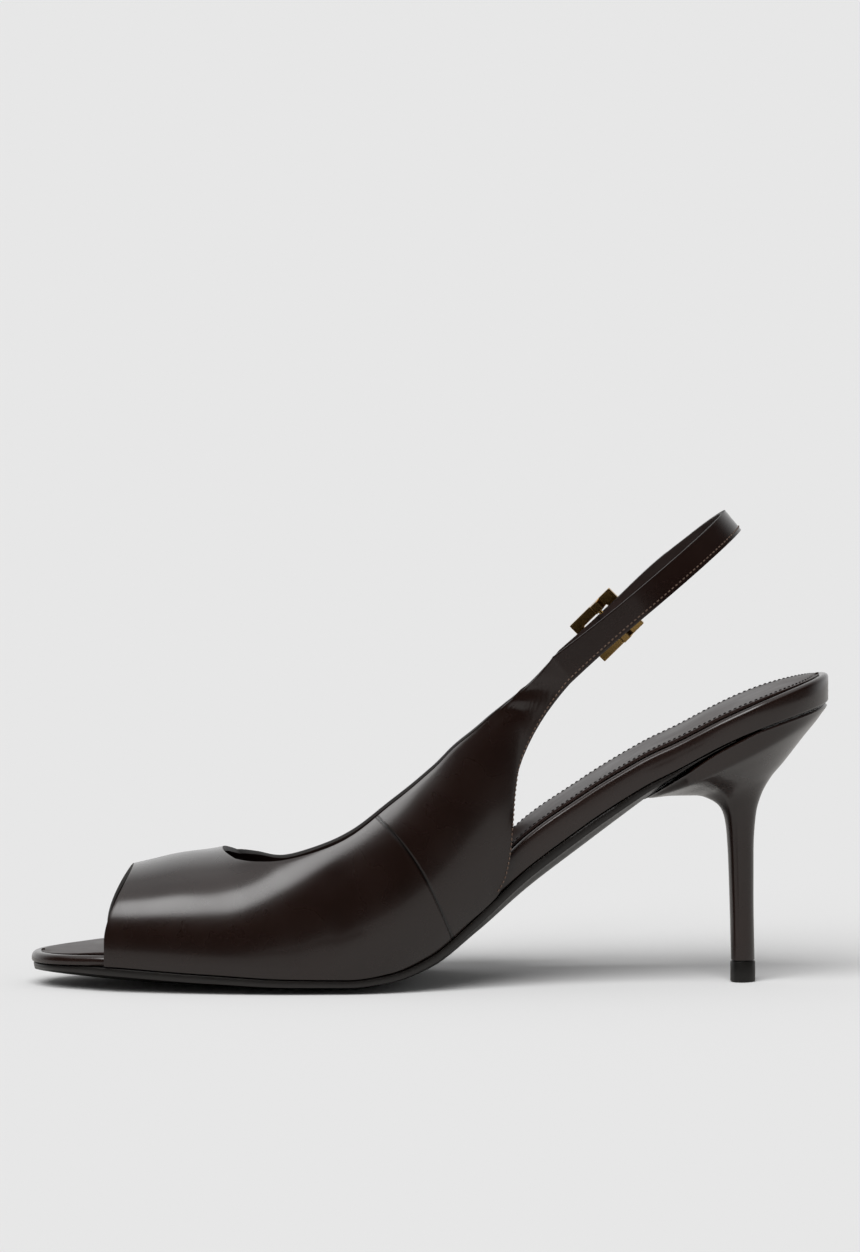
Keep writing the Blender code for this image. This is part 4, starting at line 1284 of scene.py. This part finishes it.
    def strap_line(self) -> list[tuple[np.ndarray, float, float]]:
        """Sling strap from the inner quarter round to the hinge bar: middle, half width and thickness.

        Returns:
            The ribs, in order.
        """
        hinge_along = float(np.linalg.norm(self.hinge - self.strap_side(0.0)))
        under_tab = -(SOLE.wall + SOLE.clearance)
        ribs = []
        for i in range(1, self.strap_ribs + 1):
            along, half = self.loop_plan(i / self.strap_ribs)
            ribs.append((self.strap_point(along, -half), self.strap_half(along), self.strap_thickness))
        clear = hinge_along + (1 - self.hinge_share) * self.buckle_length + self.strap_thickness
        i = self.strap_ribs - 1
        while i > 0:
            t = i / self.strap_ribs
            along, half = self.loop_plan(t)
            if along < clear:
                break
            before = self.strap_point(*self.loop_plan(t - self.way_step))
            after = self.strap_point(*self.loop_plan(t + self.way_step))
            normal = np.cross(normalised(before - after), self.upward)
            ease = float(smooth((self.tab_length + self.tab_clear - along) / self.tab_ease))
            ribs.append((self.strap_point(along, half) + normal * under_tab * ease, self.strap_width / 2,
                         self.strap_thickness))
            i -= 1
        level, radius, steps = self.pin_level(), self.pin_radius + SOLE.clearance, self.pare_ribs
        for i in range(1, steps + 1):
            place = (clear - hinge_along) * (1 - i / (steps + 1))
            depth = mix(under_tab, level - radius, float(smooth(i / steps)))
            thick = mix(self.strap_thickness, self.loop_leather, i / steps)
            ribs.append((self.hinge + self.run * place + self.out * depth, self.strap_width / 2, thick))
        centre = self.hinge + self.out * level
        for turn in range(0, 91, self.hook_step):
            angle = math.radians(turn)
            hook = centre + (-self.out * math.cos(angle) - self.run * math.sin(angle)) * radius
            ribs.append((hook, self.strap_width / 2, self.loop_leather))
        return ribs

    def tab_line(self) -> list[tuple[np.ndarray, float]]:
        """Tab from the outer quarter to its free tip: middle and half width.

        Returns:
            The ribs, in order.
        """
        hinge_along = float(np.linalg.norm(self.hinge - self.strap_side(0.0)))
        ribs, count = [], self.tab_ribs
        shares = np.linspace(0, 1, self.plan_samples)
        reach = np.array([self.loop_plan(t)[0] for t in shares])
        for i in range(1, count + 1):
            along = self.tab_length * i / count
            if along <= self.strap_straight:
                point = self.strap_side(along)
            else:
                point = self.strap_point(*self.loop_plan(float(np.interp(along, reach, shares))))
            lift = self.tab_rise * math.exp(-(((along - hinge_along) / self.tab_hump) ** 2))
            left = max(0.0, 1 - (self.tab_length - along) / self.tab_tip)
            narrow = math.sqrt(max(self.tip_blunt, 1 - left ** 2))
            ribs.append((point + self.out * lift, self.strap_half(along) * narrow))
        return ribs

    def crease_depth(self, points: np.ndarray) -> np.ndarray:
        """How far the creases press each point in.

        Args:
            points: points of the upper.

        Returns:
            A depth for each point.
        """
        depth = np.zeros(len(points))
        for crease in self.creases:
            dx, dz = points[:, 0] - crease.x, points[:, 2] - crease.z
            along = dx * math.cos(crease.angle) + dz * math.sin(crease.angle)
            off = -dx * math.sin(crease.angle) + dz * math.cos(crease.angle)
            off = off + self.crease_bow * along * along / crease.length
            depth += crease.depth * np.exp(-((along / crease.length) ** 2) - (off / crease.width) ** 2)
        return depth

    def wall(self) -> bpy.types.Object:
        """The whole upper with its thickness and rolled edges.

        Returns:
            The piece "calf_upper".
        """
        vertices: list[np.ndarray] = []
        thick: list[float] = []
        faces: list[list[int]] = []

        def grid(ribs: list[np.ndarray | None], depths: list[float],
                 first: list[int] | None = None) -> list[list[int]]:
            """Sheet over a run of ribs, sewn to the point numbers of its first rib where they are given."""
            numbers = []
            for r, rib in enumerate(ribs):
                if r == 0 and first is not None:
                    numbers.append(first)
                    continue
                vertices.extend(rib)
                thick.extend([depths[r]] * len(rib))
                numbers.append(list(range(len(vertices) - len(rib), len(vertices))))
            for near, far in zip(numbers, numbers[1:]):
                for j in range(len(near) - 1):
                    faces.append([near[j], far[j], far[j + 1], near[j + 1]])
            return numbers

        vamp = [self.vamp_rib(i / self.vamp_ribs) for i in range(self.vamp_ribs + 1)]
        wall = [SOLE.wall] * (self.quarter_ribs + 2)
        numbers = grid(vamp, wall)
        steps = np.linspace(0, 1, self.quarter_ribs + 1)
        inner = [self.quarter_rib(Side.INNER, s) for s in steps]
        outer = [self.quarter_rib(Side.OUTER, s)[::-1] for s in steps]
        inner_numbers = grid(inner, wall, numbers[-1][:self.columns + 1])
        outer_numbers = grid(outer, wall, numbers[-1][-self.columns - 1:])
        line = self.strap_line()
        strap = [None] + [self.across(p, h) for p, h, _ in line]
        depths = [mix(SOLE.wall, t, min(1.0, k / self.thicken_ribs)) if t > SOLE.wall else t
                  for k, (_, _, t) in enumerate(line)]
        grid(strap, [SOLE.wall] + depths, inner_numbers[-1])
        tab = [None] + [self.across(p, h)[::-1] for p, h in self.tab_line()]
        grid(tab, [SOLE.wall] * len(tab), outer_numbers[-1])

        points = np.array(vertices)
        mesh = bpy.data.meshes.new("calf_upper")
        mesh.from_pydata((points - ORIGIN).tolist(), [], faces)
        normals = np.zeros(len(points) * 3)
        mesh.vertices.foreach_get("normal", normals)
        normals = normals.reshape(-1, 3)
        points = points - normals * self.crease_depth(points)[:, None]
        mesh.vertices.foreach_set("co", (points - ORIGIN).ravel())
        mesh.update()
        heights = np.linspace(0, self.seam_top, self.seam_samples)
        slope = np.gradient(self.seam.at("x", heights), self.seam_top / (self.seam_samples - 1))
        lean = np.interp(points[:, 2], heights, slope)
        away = (points[:, 0] - self.seam.at("x", points[:, 2])) / np.sqrt(1 + lean * lean) / MM
        mesh.attributes.new("seam_mm", "FLOAT", "POINT").data.foreach_set("value", away.astype(np.float32))
        mesh.shade_smooth()
        for finish in (Finish.upper, Finish.lining, Finish.edge):
            mesh.materials.append(finish.material())
        obj = put_in_scene("calf_upper", mesh)
        group = obj.vertex_groups.new(name="thickness")
        for number, depth in enumerate(thick):
            group.add([number], depth / self.strap_thickness, "REPLACE")
        solid = obj.modifiers.new("wall", "SOLIDIFY")
        solid.thickness = self.strap_thickness
        solid.offset = -1.0
        solid.vertex_group = group.name
        solid.material_offset = 1
        solid.material_offset_rim = 2
        roll = obj.modifiers.new("rolled edges", "BEVEL")
        roll.width = self.edge_roll
        roll.segments = 3
        roll.limit_method = "ANGLE"
        roll.angle_limit = self.edge_angle
        roll.use_clamp_overlap = True
        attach(obj, BODY)
        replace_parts(obj, "upper")
        LOG.info("calf_upper: %d faces before its wall", len(mesh.polygons))
        return obj

    def edge_path(self, ribs: list[np.ndarray], inset: float) -> tuple[np.ndarray, np.ndarray]:
        """A line on the surface at a distance from the lower edge of a run of ribs.

        Args:
            ribs: points over the width, lower edge first.
            inset: distance from the edge.

        Returns:
            The path and the surface's outward directions.
        """
        surface = np.array(ribs)
        run = np.gradient(surface, axis=0)
        wide = np.gradient(surface, axis=1)
        normals = normalised(np.cross(run, wide))
        path, ups = [], []
        for rib, normal in zip(surface, normals):
            reach = np.concatenate([[0], np.cumsum(np.linalg.norm(np.diff(rib, axis=0), axis=1))])
            path.append([np.interp(inset, reach, rib[:, k]) for k in range(3)])
            ups.append([np.interp(inset, reach, normal[:, k]) for k in range(3)])
        return np.array(path), np.array(ups)

    def stitches(self) -> list[bpy.types.Object]:
        """Edge stitches: up the back edge of each quarter and along the strap and tab.

        Returns:
            The rows on the strap and on the tab.
        """
        # The pale thread carries a painted highlight along the stitched edges of the strap and tab.
        thread = Finish.thread.material()
        steps = np.linspace(self.stitch_from, 1.0, self.stitch_ribs)
        inner = [self.quarter_rib(Side.INNER, s) for s in steps]
        inner += [self.across(p, h) for p, h, t in self.strap_line() if t >= self.strap_thickness]
        path, ups = self.edge_path(inner, self.stitch_inset)
        middle = np.array([path[:, 0].mean(), float(SOLE.middle(self.stitch_middle)), path[:, 2].mean()])
        ups *= np.sign(np.sum(ups * (path - middle), axis=1).mean())
        strap = StitchRow().build("strap_stitches", path, ups, thread, "leather")
        outer = [self.quarter_rib(Side.OUTER, s) for s in steps]
        outer += [self.across(p, h) for p, h in self.tab_line()]
        path, ups = self.edge_path(outer, self.stitch_inset)
        ups = ups if ups[:, 1].mean() > 0 else -ups
        return [strap, StitchRow().build("tab_stitches", path, ups, thread, "leather")]


@dataclass
class Buckle:
    """The fastened buckle: a deep bevelled frame and its pin."""

    upper: Upper
    width: float = 0.0142
    bar: float = 0.0029
    rear_bar: float = 0.0037
    depth: float = 0.0020
    lug: float = 0.0024
    frame_bevel: float = 0.0006
    pin_bevel: float = 0.0001
    bevel_steps: int = 3
    bevel_angle: float = math.radians(35)
    pin_meeting: float = 1e-6
    pin_flat: float = math.radians(1.0)

    def soften(self, obj: bpy.types.Object, width: float) -> bpy.types.Object:
        """Tumble a casting's edges soft.

        Args:
            obj: the casting.
            width: width of the softened edge.

        Returns:
            The same object.
        """
        soft = obj.modifiers.new("tumbled edges", "BEVEL")
        soft.width, soft.segments = width, self.bevel_steps
        soft.limit_method, soft.angle_limit = "ANGLE", self.bevel_angle
        soft.harden_normals = True
        return obj

    def frame(self) -> bpy.types.Object:
        """The square frame over the tab, with the lugs that reach down to the hinge bar.

        Returns:
            The piece "gilt_frame".
        """
        up = self.upper
        front, rear = -up.hinge_share * up.buckle_length, (1 - up.hinge_share) * up.buckle_length
        half, inner = self.width / 2, self.width / 2 - self.bar
        low, top, lug = SOLE.clearance, SOLE.clearance + self.depth, self.lug / 2
        lug_low = up.pin_level() - 2 * up.pin_radius
        profile = ((front, low), (front + self.bar, low), (-lug - up.pin_radius, low), (-lug, lug_low),
                   (lug, lug_low), (lug + up.pin_radius, low), (rear - self.rear_bar, low), (rear, low))
        # Eight points a section: four across below, four across above.
        vertices, faces, last = [], [], len(profile) - 1
        for place, under in profile:
            for level in (under, top):
                vertices += [up.hinge + up.run * place + up.rise * side + up.out * level
                             for side in (-half, -inner, inner, half)]
        for s in range(last):
            bar = s in (0, last - 1)
            for lane in (0, 1, 2) if bar else (0, 2):
                faces += [[8 * s + h + lane, 8 * s + 8 + h + lane, 8 * s + 9 + h + lane, 8 * s + 1 + h + lane]
                          for h in (0, 4)]
            faces += [[8 * s + k, 8 * s + 8 + k, 8 * s + 12 + k, 8 * s + 4 + k]
                      for k in ((0, 3) if bar else range(4))]
        for s, lanes in ((0, range(3)), (1, (1,)), (last - 1, (1,)), (last, range(3))):
            faces += [[8 * s + k, 8 * s + k + 1, 8 * s + k + 5, 8 * s + k + 4] for k in lanes]
        piece = new_piece("gilt_frame", np.array(vertices), faces, [Finish.gilt.material()],
                          sharp=180.0)
        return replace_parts(self.soften(piece, self.frame_bevel), "buckle_frame")

    def pin(self) -> bpy.types.Object:
        """The hinge bar and prong.

        Returns:
            The piece "gilt_pin".
        """
        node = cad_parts["buckle_pin"]
        mesh = node.data.copy()
        mesh.transform(node.matrix_world)
        work = bmesh.new()
        work.from_mesh(mesh)
        bmesh.ops.remove_doubles(work, verts=work.verts, dist=self.pin_meeting)
        bmesh.ops.dissolve_limit(work, angle_limit=self.pin_flat, verts=work.verts, edges=work.edges)
        work.to_mesh(mesh)
        work.free()
        mesh.shade_smooth()
        mesh.materials.clear()
        mesh.materials.append(Finish.gilt.material())
        obj = put_in_scene("gilt_pin", mesh)
        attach(obj, BODY)
        LOG.info("gilt_pin: plated")
        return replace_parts(self.soften(obj, self.pin_bevel), "buckle_pin")


@dataclass
class Studio:
    """A pale floor, soft light and the camera at the photograph's angle."""

    elevation: float = math.radians(4.5)
    distance: float = 5.0
    target: tuple[float, float, float] = (0.0, 0.0, 0.101)
    metres_per_pixel: float = 0.283e-3
    image_height: int = 1252
    sensor: float = 36.0
    clip_end: float = 60.0
    floor_tone: str = "#e7e7e7"
    lit_tone: str = "#b8b6b3"
    floor_reach: float = 14.0
    floor_level: float = -0.0001
    lit_level: float = -0.00005
    lit_half: float = 0.8
    lit_back: float = 1.2
    lit_near: float = -3.0
    lit_front: float = 0.22
    lit_far: float = 0.42
    lit_heel: float = 0.02
    lit_side: float = -0.15
    ambient: float = 0.32
    ceiling: float = 0.72
    ceiling_rise: tuple[float, float] = (0.6, 0.92)
    back: float = 0.70
    back_rise: tuple[float, float] = (0.1, 0.8)
    room: float = 0.012
    box_from: tuple[float, float, float] = (-0.326, -0.418, 0.848)
    box_edge: float = math.radians(21)
    box_core: float = math.radians(8)
    box_power: float = 4.5
    key_from: tuple[float, float, float] = (-0.25, -0.90, 1.0)
    key_angle: float = math.radians(48)

    def camera(self) -> None:
        """Place the camera on the inner side, looking along +Y and a little down."""
        data = bpy.data.cameras.new("camera")
        data.sensor_fit = "VERTICAL"
        data.sensor_height = self.sensor
        data.lens = self.sensor * self.distance / (self.image_height * self.metres_per_pixel)
        data.clip_end = self.clip_end
        obj = put_in_scene("camera", data)
        away = Vector((0.0, -math.cos(self.elevation), math.sin(self.elevation)))
        obj.location = Vector(self.target) + away * self.distance
        obj.rotation_euler = (math.pi / 2 - self.elevation, 0.0, 0.0)
        bpy.context.scene.camera = obj

    def plane(self, name: str, low: tuple[float, float], high: tuple[float, float], level: float,
              tone: str) -> bpy.types.Object:
        """A level matt plane.

        Args:
            name: the plane's name.
            low: its least x and y.
            high: its greatest x and y.
            level: its height.
            tone: its colour.

        Returns:
            The plane.
        """
        mesh = bpy.data.meshes.new(name)
        corners = ((low[0], low[1], 0), (high[0], low[1], 0), (high[0], high[1], 0), (low[0], high[1], 0))
        mesh.from_pydata(corners, [], [[0, 1, 2, 3]])
        obj = put_in_scene(name, mesh)
        obj.location.z = level
        material, tree = blank_material(name)
        # Matt emulsion on a studio sweep: even, pale and without a highlight.
        shader = add_node(tree, "ShaderNodeBsdfDiffuse", None, Color=linear(tone))
        finish_material(tree, shader)
        mesh.materials.append(material)
        return obj

    def floor(self) -> None:
        """A wide pale floor, of which the gloss only picks up the lit part near the shoe."""
        far = self.floor_reach
        wide = self.plane("floor", (-far, -far), (far, far), self.floor_level, self.floor_tone)
        wide.visible_glossy = False
        lit = (((-self.lit_half, -self.lit_front), (self.lit_half, self.lit_back)),
               ((self.lit_heel, self.lit_near), (self.lit_half, -self.lit_front)),
               ((self.lit_side, self.lit_near), (self.lit_heel, -self.lit_far)))
        for number, (low, high) in enumerate(lit):
            card = self.plane(f"lit_floor_{number}", low, high, self.lit_level, self.lit_tone)
            card.visible_camera = card.visible_diffuse = card.visible_shadow = False

    def world(self) -> None:
        """Even light for matt surfaces, and a dark room with a pale back for what gloss reflects."""
        world = bpy.data.worlds.new("studio")
        bpy.context.scene.world = world
        world.use_nodes = True
        tree = world.node_tree
        tree.nodes.clear()
        way = add_node(tree, "ShaderNodeTexCoord").outputs["Generated"]
        parts = add_node(tree, "ShaderNodeSeparateXYZ", None, Vector=way)
        soft = {"interpolation_type": "SMOOTHSTEP"}
        height = add_node(tree, "ShaderNodeMapRange", soft, Value=parts.outputs["Z"],
                          From_Min=self.ceiling_rise[0], From_Max=self.ceiling_rise[1], To_Min=0.0,
                          To_Max=self.ceiling)
        back = add_node(tree, "ShaderNodeMapRange", soft, Value=parts.outputs["Y"],
                        From_Min=self.back_rise[0], From_Max=self.back_rise[1], To_Min=self.room,
                        To_Max=self.back)
        room = add_node(tree, "ShaderNodeMath", {"operation": "MAXIMUM"}, i0=height.outputs[0],
                        i1=back.outputs[0])
        aim = Vector(self.box_from).normalized()
        lean = add_node(tree, "ShaderNodeVectorMath", {"operation": "DOT_PRODUCT"}, i0=way, i1=tuple(aim))
        box = add_node(tree, "ShaderNodeMapRange", soft, Value=lean.outputs["Value"],
                       From_Min=math.cos(self.box_edge), From_Max=math.cos(self.box_core), To_Min=0.0,
                       To_Max=self.box_power)
        room = add_node(tree, "ShaderNodeMath", {"operation": "ADD"}, i0=room.outputs[0], i1=box.outputs[0])
        ray = add_node(tree, "ShaderNodeLightPath")
        strength = add_node(tree, "ShaderNodeMix", {"data_type": "FLOAT"}, i0=ray.outputs["Is Glossy Ray"],
                            i2=self.ambient, i3=room.outputs[0])
        light = add_node(tree, "ShaderNodeBackground", None, Color=(1, 1, 1, 1), Strength=strength.outputs[0])
        add_node(tree, "ShaderNodeOutputWorld", None, Surface=light.outputs[0])

    def key(self) -> None:
        """A broad even key from the front left, which throws the soft shadow behind the shoe."""
        data = bpy.data.lights.new("key", "SUN")
        away = Vector(self.key_from).normalized()
        data.energy = (1.0 - self.ambient) * math.pi / away.z
        data.angle = self.key_angle
        obj = put_in_scene("key", data)
        obj.rotation_euler = (-away).to_track_quat("-Z", "Y").to_euler()
        obj.visible_glossy = False

    def build(self) -> None:
        """Set up the whole studio."""
        self.camera()
        self.floor()
        self.world()
        self.key()
        bpy.context.scene.view_settings.view_transform = "Standard"
        LOG.info("studio ready")


def main() -> None:
    """Build every sub-assembly in order."""
    logging.basicConfig(level=logging.INFO, format="%(name)s: %(message)s")
    Studio().build()
    bottom = Bottom()
    bottom.outsole()
    bottom.board()
    bottom.sock()
    bottom.sock_stitches()
    heel = Heel()
    heel.heel()
    heel.tip()
    upper = Upper()
    upper.wall()
    upper.stitches()
    buckle = Buckle(upper)
    buckle.frame()
    buckle.pin()


if __name__ == "__main__":
    main()
